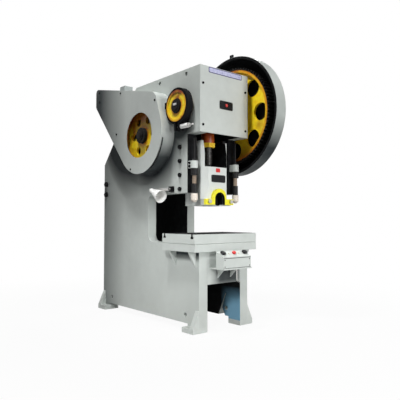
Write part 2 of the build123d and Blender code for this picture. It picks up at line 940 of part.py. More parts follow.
def gib():
    """Guide bar on the right wall with a V-shaped groove for the ram."""
    body = block(ram_half + gib_gap, inner, gib_y - gib_half, gib_y + gib_half, gib_low, gib_high)
    groove = extrude(polygon(ridge_points(gib_clear)), gib_high - gib_low + overrun * 2)
    return body - Pos(0, 0, gib_low - overrun) * groove


def gib_screws():
    """Set screws with lock nuts through the left wall, on the back of its gib."""
    screws = []
    for z in gib_screw_heights():
        screw = bar_x(gib_y, z, gib_screw, -half_width - gib_screw_out, -inner)
        screws.append(screw + hex_x(gib_y, z, gib_nut, -half_width - gib_nut_thick, -half_width))
    return screws


def grooves(radius):
    """Corners of the belt grooves in a rim, as x and radius, from left to right."""
    points = []
    for index in range(belt_count):
        x = belt_middle + (index - (belt_count - 1) / 2) * belt_pitch
        floor = radius - groove_depth
        points += [(x - groove_top / 2, radius), (x - groove_floor / 2, floor)]
        points += [(x + groove_floor / 2, floor), (x + groove_top / 2, radius)]
    return points


def flywheel():
    """Flywheel with belt grooves in its rim, a drilled web and a hub."""
    end = flywheel_x + flywheel_width
    web_x = belt_middle - flywheel_web / 2
    web_end = belt_middle + flywheel_web / 2
    rim = flywheel_radius - flywheel_rim
    bore = shaft_radius + seat_gap
    section = [(flywheel_x, bore), (flywheel_x, flywheel_hub), (web_x, flywheel_hub), (web_x, rim), (flywheel_x, rim)]
    section += [(flywheel_x, flywheel_radius)] + grooves(flywheel_radius) + [(end, flywheel_radius), (end, rim)]
    section += [(web_end, rim), (web_end, flywheel_hub), (end, flywheel_hub), (end, bore)]
    body = spun_x(section, drive_y, drive_z)
    for index in range(web_holes):
        y, z = polar(drive_y, drive_z, web_hole_circle, 2 * math.pi * index / web_holes)
        body -= bar_x(y, z, web_hole, web_x - overrun, web_end + overrun)
    return body


def motor_pulley():
    """Small grooved pulley on the motor shaft."""
    end = flywheel_x + flywheel_width
    bore = motor_shaft + seat_gap
    section = [(flywheel_x, bore), (flywheel_x, pulley_radius)] + grooves(pulley_radius)
    return spun_x(section + [(end, pulley_radius), (end, bore)], motor_y, motor_z)


def v_belts():
    """Belts side by side round the flywheel and the motor pulley."""
    belts = []
    inside = [(drive_y, drive_z, flywheel_radius), (motor_y, motor_z, pulley_radius)]
    drop = groove_depth - belt_gap
    inner_line = taut_outline([(y, z, radius - drop) for y, z, radius in inside])
    outer_line = taut_outline([(y, z, radius - drop + belt_thick) for y, z, radius in inside])
    for index in range(belt_count):
        x = belt_middle + (index - (belt_count - 1) / 2) * belt_pitch
        belts.append(across(outer_line - inner_line, x - belt_width / 2, x + belt_width / 2))
    return belts


def drive_shaft():
    """Shaft through both walls that carries the flywheel and the pinion."""
    end = gear_x + gear_width + pinion_extra + shaft_tail
    return bar_x(drive_y, drive_z, shaft_radius, flywheel_x - shaft_tail, end)


def motor_frame():
    """Motor body with cooling fins along it, end shields and feet."""
    end = motor_length - motor_start
    points = []
    for index in range(motor_fins):
        middle = 2 * math.pi * index / motor_fins
        points += [polar(motor_y, motor_z, motor_radius - motor_fin, middle - fin_half)]
        points += [polar(motor_y, motor_z, motor_radius, middle - fin_half)]
        points += [polar(motor_y, motor_z, motor_radius, middle + fin_half)]
        points += [polar(motor_y, motor_z, motor_radius - motor_fin, middle + fin_half)]
    body = across(polygon(points), -motor_start, end)
    body += bar_x(motor_y, motor_z, motor_end_radius, -motor_start - motor_end_length, -motor_start)
    base = motor_z - shaft_height
    middle = (end - motor_start) / 2
    half_length = motor_foot_length / 2
    half_foot = motor_foot_width / 2
    body += block(middle - half_length, middle + half_length, motor_y - half_foot, motor_y + half_foot,
                  base, base + motor_foot_thick)
    half_block = half_foot - motor_foot_thick * 2
    body += block(middle - half_length, middle + half_length, motor_y - half_block, motor_y + half_block,
                  base, motor_z - motor_radius / 2)
    return body - bar_x(motor_y, motor_z, motor_shaft + running_gap, -motor_start - motor_end_length - overrun, end)


def motor_cowl():
    """Cover over the fan at the far end of the motor."""
    start = motor_length - motor_start
    radius = motor_radius + cowl_clear
    return spun_x([
        (start, 0), (start, radius), (start + cowl_length - motor_fin, radius),
        (start + cowl_length, radius - motor_fin), (start + cowl_length, 0),
    ], motor_y, motor_z)


def motor_terminal_box():
    """Box for the supply wires on top of the motor."""
    half = terminal_box / 2
    middle = terminal_from_end - motor_start
    low = motor_z + motor_radius * math.cos(fin_half)
    body = block(middle - half, middle + half, motor_y - half, motor_y + half, low, low + terminal_high)
    return fillet(body.edges().filter_by(Axis.Z), terminal_round)


def motor_shaft_piece():
    """Shaft of the motor, out of its left end into the pulley."""
    return bar_x(motor_y, motor_z, motor_shaft, flywheel_x - cowl_clear, -motor_start + motor_end_length)


def motor_bracket():
    """Welded bracket on the sloping rear plate: two arms and a base for the feet of the motor."""
    base = motor_z - shaft_height
    half_foot = motor_foot_width / 2 + motor_foot_thick
    high_y = head_rear + bracket_top
    low_y = head_rear + bracket_low
    arm = polygon([
        (high_y, slope_height(high_y)), (low_y, slope_height(low_y)), (motor_y + half_foot, base - bracket_plate),
        (motor_y + half_foot, base), (motor_y - half_foot, base),
    ])
    body = block(-bracket_reach - bracket_plate, bracket_reach + bracket_plate, motor_y - half_foot,
                 motor_y + half_foot, base - bracket_plate, base)
    body += across(arm, -bracket_reach - bracket_plate, -bracket_reach)
    body += across(arm, bracket_reach, bracket_reach + bracket_plate)
    return body


def guard_rounds(inset):
    """Round corners of the flywheel guard, drawn in by an inset."""
    return [
        (drive_y, drive_z, guard_round - inset),
        (motor_y + tail_back, motor_z - tail_drop, tail_radius - inset),
        (motor_y + tail_back, motor_z + tail_rise, tail_radius - inset),
        (drive_y - brow_ahead, drive_z + brow_rise, brow_radius - inset),
    ]


def rim_slot():
    """Curved slot through the front rim of the flywheel guard, close to its face."""
    ring = Circle(guard_round + overrun) - Circle(guard_round - sheet - overrun)
    reach = guard_round + guard_depth
    wedge = polygon([(0, 0), polar(0, 0, reach, guard_slot_from), polar(0, 0, reach, guard_slot_to)])
    start = guard_x + guard_slot_inset
    return across(Pos(drive_y, drive_z) * (ring & wedge), start, start + guard_slot)


def flywheel_guard():
    """Sheet guard over the flywheel and belts, with a round window and a slot in its rim."""
    body = across(taut_outline(guard_rounds(0)), guard_x, -half_width)
    body -= across(taut_outline(guard_rounds(sheet)), guard_x + sheet, -half_width + overrun)
    body -= bar_x(drive_y, drive_z, guard_window, guard_x - overrun, guard_x + sheet + overrun)
    return body - rim_slot()


def gear_guard_rounds(inset):
    """Round ends of the gear guard, drawn in by an inset."""
    return [(drive_y, drive_z, pinion_guard_radius - inset), (crank_y, crank_z, gear_guard_radius - inset)]


def gear_guard():
    """Drum-shaped guard, closed on the right and lipped on the left, with stand-offs and a lifting lug."""
    body = across(taut_outline(gear_guard_rounds(0)), gear_guard_x, gear_guard_end)
    body -= across(taut_outline(gear_guard_rounds(sheet)), gear_guard_x + sheet, gear_guard_end - sheet)
    body -= across(taut_outline(gear_guard_rounds(gear_guard_lip)), gear_guard_x - overrun, gear_guard_x + sheet)
    ring = gear_guard_radius - gear_guard_lip / 2
    for angle in standoff_angles:
        y, z = polar(crank_y, crank_z, ring, angle)
        body += bar_x(y, z, gear_guard_lip / 2 - sheet, half_width, gear_guard_x)
    top = crank_z + gear_guard_radius
    lug_end = gear_guard_x + lug_plate
    lug = block(gear_guard_x, lug_end, crank_y - lug_width / 2, crank_y + lug_width / 2, top - sheet, top + lug_high)
    return body + lug - bar_x(crank_y, top + lug_high / 2, lug_hole, gear_guard_x - overrun, lug_end + overrun)


def stop_bracket():
    """Bracket on the right cheek that holds a knock-out stop screw."""
    half = stop_bracket_width / 2
    high = stop_bracket_low + stop_bracket_high
    y = cheek_front - stop_ahead
    body = block(stop_x - half, stop_x + half, y, cheek_front, stop_bracket_low, high)
    body += bar_z(stop_x, y, half, stop_bracket_low, high)
    return body - bar_z(stop_x, y, stop_thread + seat_gap, stop_bracket_low - overrun, high + overrun)


def stop_screw():
    """Knock-out stop screw on the right: stem, thread, round knob, collar and rounded foot."""
    knob_low = stop_bracket_low - stop_knob_high
    collar_high = stop_bracket_low - stop_collar_drop
    collar_low = collar_high - stop_collar_high
    foot_low = collar_low - stop_foot_high
    thread_top = stop_bracket_low + stop_bracket_high + stop_thread
    return Pos(stop_x, cheek_front - stop_ahead, 0) * spun_z([
        (0, foot_low), (stop_foot - stop_foot_round, foot_low), (stop_foot, foot_low + stop_foot_round),
        (stop_foot, collar_low), (stop_collar, collar_low), (stop_collar, collar_high), (stop_thread, collar_high),
        (stop_thread, knob_low), (stop_knob, knob_low), (stop_knob, stop_bracket_low),
        (stop_thread, stop_bracket_low), (stop_thread, thread_top), (stop_stem, thread_top),
        (stop_stem, thread_top + stop_stem_rise), (0, thread_top + stop_stem_rise),
    ])


def control_tray():
    """Shelf for the control box on the apron, with two ribs below it."""
    half = box_width / 2
    low = tray_top - tray_thick
    body = block(-half, half, front - tray_reach, front, low, tray_top)
    outline = polygon([(front, low), (front, low - tray_rib_drop), (front - tray_reach / 2, low)])
    for x in (-half / 2, half / 2 - tray_rib):
        body += across(outline, x, x + tray_rib)
    return body


def panel(x):
    """Plane on the sloping top of the control box, above its middle line, facing out."""
    middle_y = box_y + box_deep / 2
    middle_z = tray_top + (box_low + box_high) / 2
    return Plane((x, middle_y, middle_z), x_dir=(1, 0, 0), z_dir=(0, -math.sin(panel_slope), math.cos(panel_slope)))


def control_box():
    """Control box with a sloping top, bored for its buttons."""
    half = box_width / 2
    outline = polygon([
        (box_y, tray_top), (box_y + box_deep, tray_top), (box_y + box_deep, tray_top + box_high),
        (box_y, tray_top + box_low),
    ])
    body = across(outline, -half, half)
    for x in (-button_spread, 0, button_spread):
        bore = Pos(0, 0, -button_bore_deep) * Cylinder(
            palm_stem + button_gap, button_bore_deep * 2, align=(Align.CENTER, Align.CENTER, Align.MIN))
        body -= panel(x) * bore
    return body


def push_button(x, radius):
    """Mushroom button with a stem in the control box."""
    cap_low = palm_rise
    cap_high = palm_rise + palm_high
    stem_low = palm_travel - button_bore_deep + palm_round
    return panel(x) * spun_z([
        (0, stem_low), (palm_stem, stem_low), (palm_stem, cap_low), (radius, cap_low),
        (radius, cap_high - palm_round), (radius - palm_round, cap_high), (0, cap_high),
    ])


def indicator_lamps():
    """Two domed indicator lamps beside the stop button."""
    dome = spun_z([(0, 0), (pilot_radius, 0), (pilot_radius, pilot_high / 2), (pilot_radius / 2, pilot_high), (0, pilot_high)])
    return [panel(x) * dome for x in (-lamp_spread, lamp_spread)]


def tool_hook():
    """Bent rod under the tray for hanging a spanner."""
    y = front - hook_ahead
    high = tray_top - tray_thick
    low = high - hook_drop
    path = FilletPolyline((hook_x, y, high), (hook_x, y, low), (hook_x, y - hook_reach, low), radius=hook_bend)
    return sweep(Plane((hook_x, y, high), z_dir=(0, 0, -1)) * Circle(hook_radius), path)


def lamp_bracket():
    """Block on the left cheek with the pin that the lamp arm turns on."""
    half = lamp_block / 2
    outside = lamp_x + lamp_arm_beside + lamp_arm_thick + lamp_side_gap
    body = block(outside, -half_width, lamp_y - half, lamp_y + half, lamp_height - half, lamp_height + half)
    return body + bar_x(lamp_y, lamp_height, lamp_pin, lamp_x + lamp_arm_beside - lamp_side, outside)


def lamp_arm():
    """Flat arm with an eye on the bracket pin and a pin for the shade at its far end."""
    near = lamp_x + lamp_arm_beside
    far = near + lamp_arm_thick
    round_end = lamp_arm_wide / 2
    face = taut_outline([(lamp_y, lamp_height, round_end), (shade_y, lamp_height, round_end)])
    body = across(face - Pos(lamp_y, lamp_height) * Circle(lamp_pin + running_gap), near, far)
    return body + bar_x(shade_y, lamp_height, lamp_pin, lamp_x - lamp_boss_half, near)


def shade_place():
    """Frame at the shade's pivot whose z axis runs along the shade to its mouth."""
    return Pos(lamp_x, shade_y, lamp_height) * Rot(X=shade_tilt)


def lamp_shade():
    """Conical shade, open at its mouth, with a boss on the arm's pin."""
    back = lamp_boss
    mouth = back + shade_length
    shade = spun_z([
        (0, back - shade_wall), (shade_neck, back - shade_wall), (shade_neck, back + shade_neck), (shade_rim, mouth),
        (shade_rim - shade_wall, mouth), (shade_neck - shade_wall, back + shade_neck),
        (shade_neck - shade_wall, back + shade_wall), (0, back + shade_wall),
    ])
    boss = Rot(Y=90) * Cylinder(lamp_boss, lamp_boss_half * 2)
    bore = Rot(Y=90) * Cylinder(lamp_pin + running_gap, lamp_boss_half * 4)
    return shade_place() * (shade + boss - bore)


def lamp_bulb():
    """Bulb in the shade."""
    low = lamp_boss + shade_wall
    bulb = Pos(0, 0, bulb_out) * Sphere(bulb_radius)
    return shade_place() * (bulb + bar_z(0, 0, bulb_neck, low, bulb_out))


nodes = {
    "left_side_wall": left_side_wall(),
    "right_side_wall": right_side_wall(),
    "bed_table": bed_table(),
    "bolster_plate": bolster_plate(),
    "front_apron": block(-inner, inner, front, front + plate, leg_opening, table_seat),
    "bed_rear_wall": block(-inner, inner, table_rear - plate, table_rear, leg_opening, table_seat),
    "rear_tie_plate": block(-inner, inner, rear - plate, rear, rear_tie_low, rear_tie_high),
    "rear_tie_rods": rear_tie_rods(),
    "head_top_plate": block(-inner, inner, front, head_rear - plate, head_top - top_plate, head_top),
    "head_rear_plate": slope_plate(),
    "head_front_cover": block(-half_width, half_width, front - cover_thick, front, head_bottom, head_top),
    "feet": feet(),
    "gib_left": mirrored(gib()),
    "gib_right": gib(),
    "gib_screws": gib_screws(),
    "stop_bracket_left": mirrored(stop_bracket()),
    "stop_bracket_right": stop_bracket(),
    "stop_screw_left": mirrored(stop_screw()),
    "stop_screw_right": stop_screw(),
    "crank_bearings": bushes(crank_y, crank_z, journal, crank_bore),
    "drive_bearings": bushes(drive_y, drive_z, shaft_radius, shaft_bore),
    "crankshaft": crankshaft(),
    "brake_drum": brake_drum(),
    "brake_band": brake_band(),
    "brake_anchor": brake_anchor(),
    "brake_bolt": brake_bolt(),
    "brake_spring": brake_spring(),
    "bull_gear": bull_gear(),
    "gear_guard": gear_guard(),
    "drive_shaft": drive_shaft(),
    "drive_pinion": drive_pinion(),
    "flywheel": flywheel(),
    "flywheel_guard": flywheel_guard(),
    "v_belts": v_belts(),
    "motor_frame": motor_frame(),
    "motor_cowl": motor_cowl(),
    "motor_terminal_box": motor_terminal_box(),
    "motor_shaft": motor_shaft_piece(),
    "motor_pulley": motor_pulley(),
    "motor_bracket": motor_bracket(),
    "connecting_rod": connecting_rod(),
    "rod_cap": rod_cap(),
    "rod_bolts": rod_bolts(),
    "adjusting_screw": adjusting_screw(),
    "lock_nut": lock_nut(),
    "ram": ram(),
    "shank_clamp": shank_clamp(),
    "clamp_nuts": clamp_nuts(),
    "shank_set_screw": shank_set_screw(),
    "control_tray": control_tray(),
    "control_box": control_box(),
    "palm_button_left": push_button(-button_spread, palm_radius),
    "palm_button_right": push_button(button_spread, palm_radius),
    "stop_button": push_button(0, stop_button_radius),
    "indicator_lamps": indicator_lamps(),
    "tool_hook": tool_hook(),
    "lamp_bracket": lamp_bracket(),
    "lamp_arm": lamp_arm(),
    "lamp_shade": lamp_shade(),
    "lamp_bulb": lamp_bulb(),
}

for name, piece in nodes.items():
    shape = Compound(children=piece) if isinstance(piece, list) else piece
    export_step(shape, f"parts/{name}.step")
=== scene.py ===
# %% [markdown]
# # A crank power press, dressed for its picture
# The imported solids give every main form of the press. This lesson adds the finishes (enamel,
# greased iron, turned steel), the small fasteners, bare plates, threads and weld beads, and a
# plain studio round it. First the solids are loaded.

# %% Load the solids
import json
import math

import bmesh
import bpy
import numpy as np
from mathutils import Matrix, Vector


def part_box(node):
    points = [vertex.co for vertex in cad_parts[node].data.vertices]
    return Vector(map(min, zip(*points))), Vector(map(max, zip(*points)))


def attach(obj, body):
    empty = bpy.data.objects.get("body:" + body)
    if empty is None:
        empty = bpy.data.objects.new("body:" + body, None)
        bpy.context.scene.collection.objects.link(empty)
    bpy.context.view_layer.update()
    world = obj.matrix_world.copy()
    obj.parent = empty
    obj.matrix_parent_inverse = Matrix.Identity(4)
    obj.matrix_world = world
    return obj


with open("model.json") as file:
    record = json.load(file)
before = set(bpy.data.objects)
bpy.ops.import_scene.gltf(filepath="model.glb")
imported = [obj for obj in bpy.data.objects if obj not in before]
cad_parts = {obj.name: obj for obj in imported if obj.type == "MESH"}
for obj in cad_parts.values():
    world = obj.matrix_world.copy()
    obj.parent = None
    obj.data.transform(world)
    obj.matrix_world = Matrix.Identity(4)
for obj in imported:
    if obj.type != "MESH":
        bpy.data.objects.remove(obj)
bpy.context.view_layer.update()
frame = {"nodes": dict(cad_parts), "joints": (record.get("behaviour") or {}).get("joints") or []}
nodes = frame["nodes"]

# %% [markdown]
# ## Places on the press
# A finish or a screw goes where the solids say. Every wheel turns about the cross axis, so an axle
# is a pair of y and z, read from its joint. The planes that pieces sit on are read from the boxes
# of the nodes. Reading them is surer than typing them, because a piece then follows its solid.

# %% Places
LOW, HIGH = 0, 1
X, Y, Z = 0, 1, 2


def side(node, corner, axis):
    """Where the box of a node ends along one axis."""
    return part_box(node)[corner][axis]


def axle_of(name):
    """The y and z of the place of a joint."""
    joint = next(joint for joint in frame["joints"] if joint["name"] == name)
    return joint["pos_m"][Y:]


CRANK_Y, CRANK_Z = axle_of("crank_turn")
DRIVE_Y, DRIVE_Z = axle_of("drive_turn")
MOTOR_Y, MOTOR_Z = axle_of("motor_turn")
GUARD_X = side("flywheel_guard", LOW, X)
GEAR_GUARD_X = side("gear_guard", HIGH, X)
COVER_Y = side("head_front_cover", LOW, Y)
RAM_Y = side("ram", LOW, Y)
BOLSTER_TOP = side("bolster_plate", HIGH, Z)
THIN = 0.0012  # how near a plane a point counts as on it
print("crank axle", CRANK_Y, CRANK_Z, "drive axle", DRIVE_Y, DRIVE_Z, "motor axle", MOTOR_Y, MOTOR_Z)

# %% [markdown]
# ## A small kit for node materials
# A finish is a graph of shader nodes. Writing each node and link by hand hides the idea, so two
# helpers make a node with its inputs in one line. An input takes either a link from another node
# or a plain number.

# %% Nodes and links


def feed(tree, socket, value):
    """Link a socket, or set a plain number or colour on it."""
    if isinstance(value, bpy.types.NodeSocket):
        tree.links.new(value, socket)
    else:
        socket.default_value = value


def add_node(tree, kind, *inputs, **settings):
    """A new node with its own settings, whose first inputs are links or plain values."""
    made = tree.nodes.new(kind)
    for key, value in settings.items():
        setattr(made, key, value)
    for socket, value in zip(made.inputs, inputs):
        feed(tree, socket, value)
    return made


# %% [markdown]
# ## A finish under construction
# The steps that come back in every finish are a noise read in object coordinates, a ramp, a mix of
# two colours and masks, which are 1 where something holds and 0 elsewhere. Object coordinates are
# metres in the frame of the press, so a noise of scale 100 gives detail of about a centimetre.

# %% A finish under construction
SOFT = (0.3, 0.7)  # most of a noise lies between these
EDGE_TURN = (0.97, 0.80)  # cosine of the turn of the normal, on a flat and on an edge
MIX_COLOURS = slice(6, 8)  # the two colour inputs of a Mix node
MIX_RESULT = 2


class Finish:
    """A material under construction: its nodes, its coordinates and its shader."""

    def __init__(self, name):
        self.material = bpy.data.materials.new(name)
        self.material.use_nodes = True
        self.tree = self.material.node_tree
        self.shader = self.tree.nodes["Principled BSDF"]
        self.coords = self.node("ShaderNodeTexCoord")
        self.place = self.coords.outputs["Object"]
        self.x, self.y, self.z = self.node("ShaderNodeSeparateXYZ", self.place).outputs

    def node(self, kind, *inputs, **settings):
        """A new node of this material."""
        return add_node(self.tree, kind, *inputs, **settings)

    def math(self, operation, first, second=0.0):
        """One step of arithmetic on numbers."""
        return self.node("ShaderNodeMath", first, second, operation=operation).outputs[0]

    def noise(self, scale, detail=4.0, roughness=0.55, stretch=None):
        """Fractal noise from 0 to 1 in object coordinates, drawn out along the axes by stretch."""
        made = self.node("ShaderNodeTexNoise")
        made.inputs["Scale"].default_value = scale
        made.inputs["Detail"].default_value = detail
        made.inputs["Roughness"].default_value = roughness
        source = self.place
        if stretch:
            mapping = self.node("ShaderNodeMapping", source)
            mapping.inputs["Scale"].default_value = stretch
            source = mapping.outputs[0]
        feed(self.tree, made.inputs["Vector"], source)
        return made.outputs[0]

    def span(self, value, low, high, to_low=0.0, to_high=1.0):
        """Map a range of numbers to another, clamped at both ends."""
        return self.node("ShaderNodeMapRange", value, low, high, to_low, to_high, clamp=True).outputs[0]

    def mix(self, share, first, second):
        """A colour between two others, each a link or plain red, green and blue."""
        step = self.node("ShaderNodeMix", share, data_type="RGBA")
        for socket, colour in zip(step.inputs[MIX_COLOURS], (first, second)):
            feed(self.tree, socket, colour if isinstance(colour, bpy.types.NodeSocket) else (*colour, 1.0))
        return step.outputs[MIX_RESULT]

    def both(self, *masks):
        """Where every mask is 1: their product, also with a plain share."""
        share = masks[0]
        for mask in masks[1:]:
            share = self.math("MULTIPLY", share, mask)
        return share

    def either(self, *masks):
        """Where any mask is 1: their maximum."""
        share = masks[0]
        for mask in masks[1:]:
            share = self.math("MAXIMUM", share, mask)
        return share

    def above(self, value, limit):
        """1 where a number is larger than a limit."""
        return self.math("GREATER_THAN", value, limit)

    def below(self, value, limit):
        """1 where a number is smaller than a limit."""
        return self.math("LESS_THAN", value, limit)

    def within(self, value, low, high):
        """1 where a number lies between two others."""
        return self.both(self.above(value, low), self.below(value, high))

    def reach(self, first, second, place):
        """Distance of two coordinates from a place in their plane: the radius about the third axis."""
        squares = []
        for coordinate, middle in zip((first, second), place):
            away = self.math("SUBTRACT", coordinate, middle)
            squares.append(self.math("MULTIPLY", away, away))
        return self.math("SQRT", self.math("ADD", *squares))

    def dot(self, first, second):
        """The dot product of two directions."""
        return self.node("ShaderNodeVectorMath", first, second, operation="DOT_PRODUCT").outputs["Value"]

    def facing(self, centre):
        """Above 0 where the surface faces away from a point, below 0 where it faces the point."""
        away = self.node("ShaderNodeVectorMath", self.place, centre, operation="SUBTRACT").outputs[0]
        return self.dot(away, self.coords.outputs["Normal"])

    def rounded(self, size):
        """Shading normal as if each edge had a small round of that size."""
        return self.node("ShaderNodeBevel", size, samples=4).outputs[0]

    def edges(self, size):
        """1 along the edges of the piece and 0 on its flats, from how far the rounded normal turns."""
        flat = self.node("ShaderNodeNewGeometry").outputs["Normal"]
        return self.span(self.dot(self.rounded(size), flat), *EDGE_TURN)

    def bump(self, height, distance, size):
        """Fine relief on top of the rounded edges."""
        made = self.node("ShaderNodeBump")
        made.inputs["Strength"].default_value = 1.0
        made.inputs["Distance"].default_value = distance
        feed(self.tree, made.inputs["Height"], height)
        feed(self.tree, made.inputs["Normal"], self.rounded(size))
        feed(self.tree, self.shader.inputs["Normal"], made.outputs[0])

    def colour(self, value):
        """The colour of the surface."""
        feed(self.tree, self.shader.inputs["Base Color"], value)

    def painted(self):
        """The colour that the surface has so far."""
        return self.shader.inputs["Base Color"].links[0].from_socket

    def rough(self, value):
        """How dull the surface is, from 0, a mirror, to 1."""
        feed(self.tree, self.shader.inputs["Roughness"], value)

    def sheen(self, value):
        """How strongly the surface mirrors."""
        feed(self.tree, self.shader.inputs["Specular IOR Level"], value)


def dress(finish, *names):
    """Put a finish on the material slots of these nodes."""
    for name in names:
        nodes[name].data.materials.clear()
        nodes[name].data.materials.append(finish.material)
    print(finish.material.name, "on", len(names), "nodes")


# %% [markdown]
# ## Enamel
# The real frame is welded from thick plate and sprayed with a grey-green machine enamel. Sprayed
# paint isn't flat: it has a fine orange peel, slow drifts of tone, dust low down, and edges that are
# rubbed paler. Painted shade darkens it and dulls its sheen where shadows fall. Inside the frame
# the plates are black. A mask in object coordinates tells the two apart, so that one material
# serves the outside and the inside of a plate.

# %% Enamel
FRAME_TONE = (0.51, 0.545, 0.52)
COVER_TONE = (0.54, 0.575, 0.55)
RAM_TONE = (0.64, 0.67, 0.65)
MOTOR_TONE = (0.40, 0.44, 0.43)
PALE_SHARE, DEEP_SHARE = 1.05, 0.93
INSIDE_BLACK = (0.006, 0.006, 0.007)
INSIDE_BLACK_PALE = (0.016, 0.017, 0.018)
RUBBED, RUBBED_SHARE = (0.70, 0.73, 0.70), 0.55
DUST, DUST_SHARE, DUST_TOP = (0.30, 0.29, 0.26), 0.25, 0.55
# colour of the painted shade
PAINTED_SHADE = (0.028, 0.034, 0.037)
GLOSS = (0.38, 0.54)
INSIDE_DULLER = 0.4
ENAMEL_SHEEN, DULL_SHEEN = 0.28, 0.04
DRIFT, CLOUDS, PEEL = 2.3, 14.0, 420.0  # scales of the noises, from slow drifts to orange peel
DRIFT_SHARE, TONE_RANGE = 0.65, (0.36, 0.64)
DUST_RANGE = (0.35, 0.7)
PAINTED_SHADE_DRIFT = (0.1, 0.6, 0.86, 1.0)  # from where to where in the drift, and the share of painted shade at each
RUB, RUB_RANGE = 60.0, (0.40, 0.62)
EDGE_ROUND, PEEL_HEIGHT = 0.004, 0.0004


def inside_black(f):
    """Black, paler in clouds."""
    return f.mix(f.span(f.noise(CLOUDS), *SOFT), INSIDE_BLACK, INSIDE_BLACK_PALE)


def enamel(name, tone, inside=None, dusty=True, inside_colour=inside_black, painted_shade_mask=None):
    """Enamel of one tone, with painted shade where its shade mask says, and black where inside is 1."""
    f = Finish(name)
    f.sheen(ENAMEL_SHEEN)
    drift = f.noise(DRIFT, detail=5.0)
    clouds = f.noise(CLOUDS)
    pale, deep = [tuple(part * share for part in tone) for share in (PALE_SHARE, DEEP_SHARE)]
    tones = f.math("ADD", f.both(drift, DRIFT_SHARE), f.both(clouds, 1.0 - DRIFT_SHARE))
    paint = f.mix(f.span(tones, *TONE_RANGE), deep, pale)
    if dusty:
        low = f.both(f.span(f.z, DUST_TOP, 0.0), f.span(clouds, *DUST_RANGE))
        paint = f.mix(f.both(low, DUST_SHARE), paint, DUST)
    dull = []
    # painted shade: darker enamel, with less sheen, where shadows fall
    if painted_shade_mask:
        painted_shade_share = f.both(painted_shade_mask(f), f.span(drift, *PAINTED_SHADE_DRIFT))
        paint = f.mix(painted_shade_share, paint, PAINTED_SHADE)
        dull.append(painted_shade_share)
    rubbed = f.both(f.edges(EDGE_ROUND), f.span(f.noise(RUB), *RUB_RANGE))
    paint = f.mix(f.both(rubbed, RUBBED_SHARE), paint, RUBBED)
    level = f.span(clouds, *SOFT, *GLOSS)
    if inside:
        hidden = inside(f)
        paint = f.mix(hidden, paint, inside_colour(f))
        level = f.math("ADD", level, f.both(hidden, INSIDE_DULLER))
        dull.append(hidden)
    if dull:
        f.sheen(f.span(f.either(*dull), 0.0, 1.0, ENAMEL_SHEEN, DULL_SHEEN))
    f.colour(paint)
    f.rough(level)
    f.bump(f.noise(PEEL, detail=2.0), PEEL_HEIGHT, EDGE_ROUND)
    return f


# %% [markdown]
# ## The welded frame
# The two side walls carry the press. Outside they are enamelled, inside they are black, and the
# front right leg is blue-grey low on its inner face. Shade is painted on where the photograph is
# dark: towards the rear edge, round the flywheel's guard, below the brake, under the table and
# under the control tray. Each painted shade is a ramp of a coordinate or of a distance.

# %% The welded frame
FRAME_MIDDLE = (0.0, -0.2, 1.2)
WALL_INSIDE = 0.2065
CHEEK_FRONT = side("stop_bracket_left", HIGH, Y)
CHEEK_LOW, CHEEK_HIGH = 1.25, 1.793
BLUE = (0.19, 0.38, 0.52)
BLUE_TOP, BLUE_FULL = 0.36, 0.24
BLUE_REAR, BLUE_FRONT = -0.58, -0.66
# ranges over which painted shade on the walls fades in
REAR_PAINTED_SHADE, REAR_SHARE = (0.40, 0.86), 0.66
WHEEL_PAINTED_SHADE, TAIL_PAINTED_SHADE, BRAKE_PAINTED_SHADE = (0.62, 0.40), (0.76, 0.48), (0.25, 0.14)  # outer and full radius
TAIL_PLACE = (0.28, 1.98)
BRAKE_PLACE = (CRANK_Y + 0.06, CRANK_Z - 0.14)
WHEEL_FADE, BRAKE_FADE = (2.16, 1.84), (2.00, 1.92)
TABLE_LOW, TABLE_FRONT, TABLE_REAR = 0.7172, -0.8468, -0.405
TABLE_PAINTED_SHADE, TABLE_END = (0.62, 0.69), 0.05
TRAY_DROP, TRAY_SHARE = (0.16, 0.02), 0.96
TRAY_NEAR, TRAY_FAR = 0.12, 0.06


def turned_in(centre):
    """A mask of the faces that look at a point inside a shell."""
    return lambda f: f.below(f.facing(centre), 0.0)


def wall_inside(f):
    """Inner faces of the side walls, and the front faces of the cheeks."""
    inner = f.within(f.x, -WALL_INSIDE, WALL_INSIDE)
    plane = f.within(f.y, CHEEK_FRONT - THIN, CHEEK_FRONT + THIN)
    return f.either(inner, f.both(plane, f.within(f.z, CHEEK_LOW, CHEEK_HIGH)))


def wall_inside_colour(f):
    """Black, turning blue-grey low down inside the front right leg."""
    low = f.both(f.span(f.z, BLUE_TOP, BLUE_FULL), f.span(f.y, BLUE_REAR, BLUE_FRONT))
    return f.mix(f.both(low, f.above(f.x, 0.0)), inside_black(f), BLUE)


def wall_painted_shade(f):
    """Painted shade towards the rear edge, round the flywheel's guard, below the brake and under the table.
    """
    rear = f.span(f.y, *REAR_PAINTED_SHADE, 0.0, REAR_SHARE)
    wheel = f.span(f.reach(f.y, f.z, (DRIVE_Y, DRIVE_Z)), *WHEEL_PAINTED_SHADE)
    tail = f.span(f.reach(f.y, f.z, TAIL_PLACE), *TAIL_PAINTED_SHADE)
    guard_shadow = f.both(f.either(wheel, tail), f.span(f.z, *WHEEL_FADE))
    brake = f.both(f.span(f.reach(f.y, f.z, BRAKE_PLACE), *BRAKE_PAINTED_SHADE), f.span(f.z, *BRAKE_FADE))
    left = f.both(f.either(guard_shadow, brake), f.below(f.x, 0.0))
    table = f.both(f.span(f.z, *TABLE_PAINTED_SHADE), f.below(f.z, TABLE_LOW), f.above(f.y, TABLE_FRONT),
                   f.span(f.y, TABLE_REAR, TABLE_REAR - TABLE_END))
    return f.either(rear, left, table)


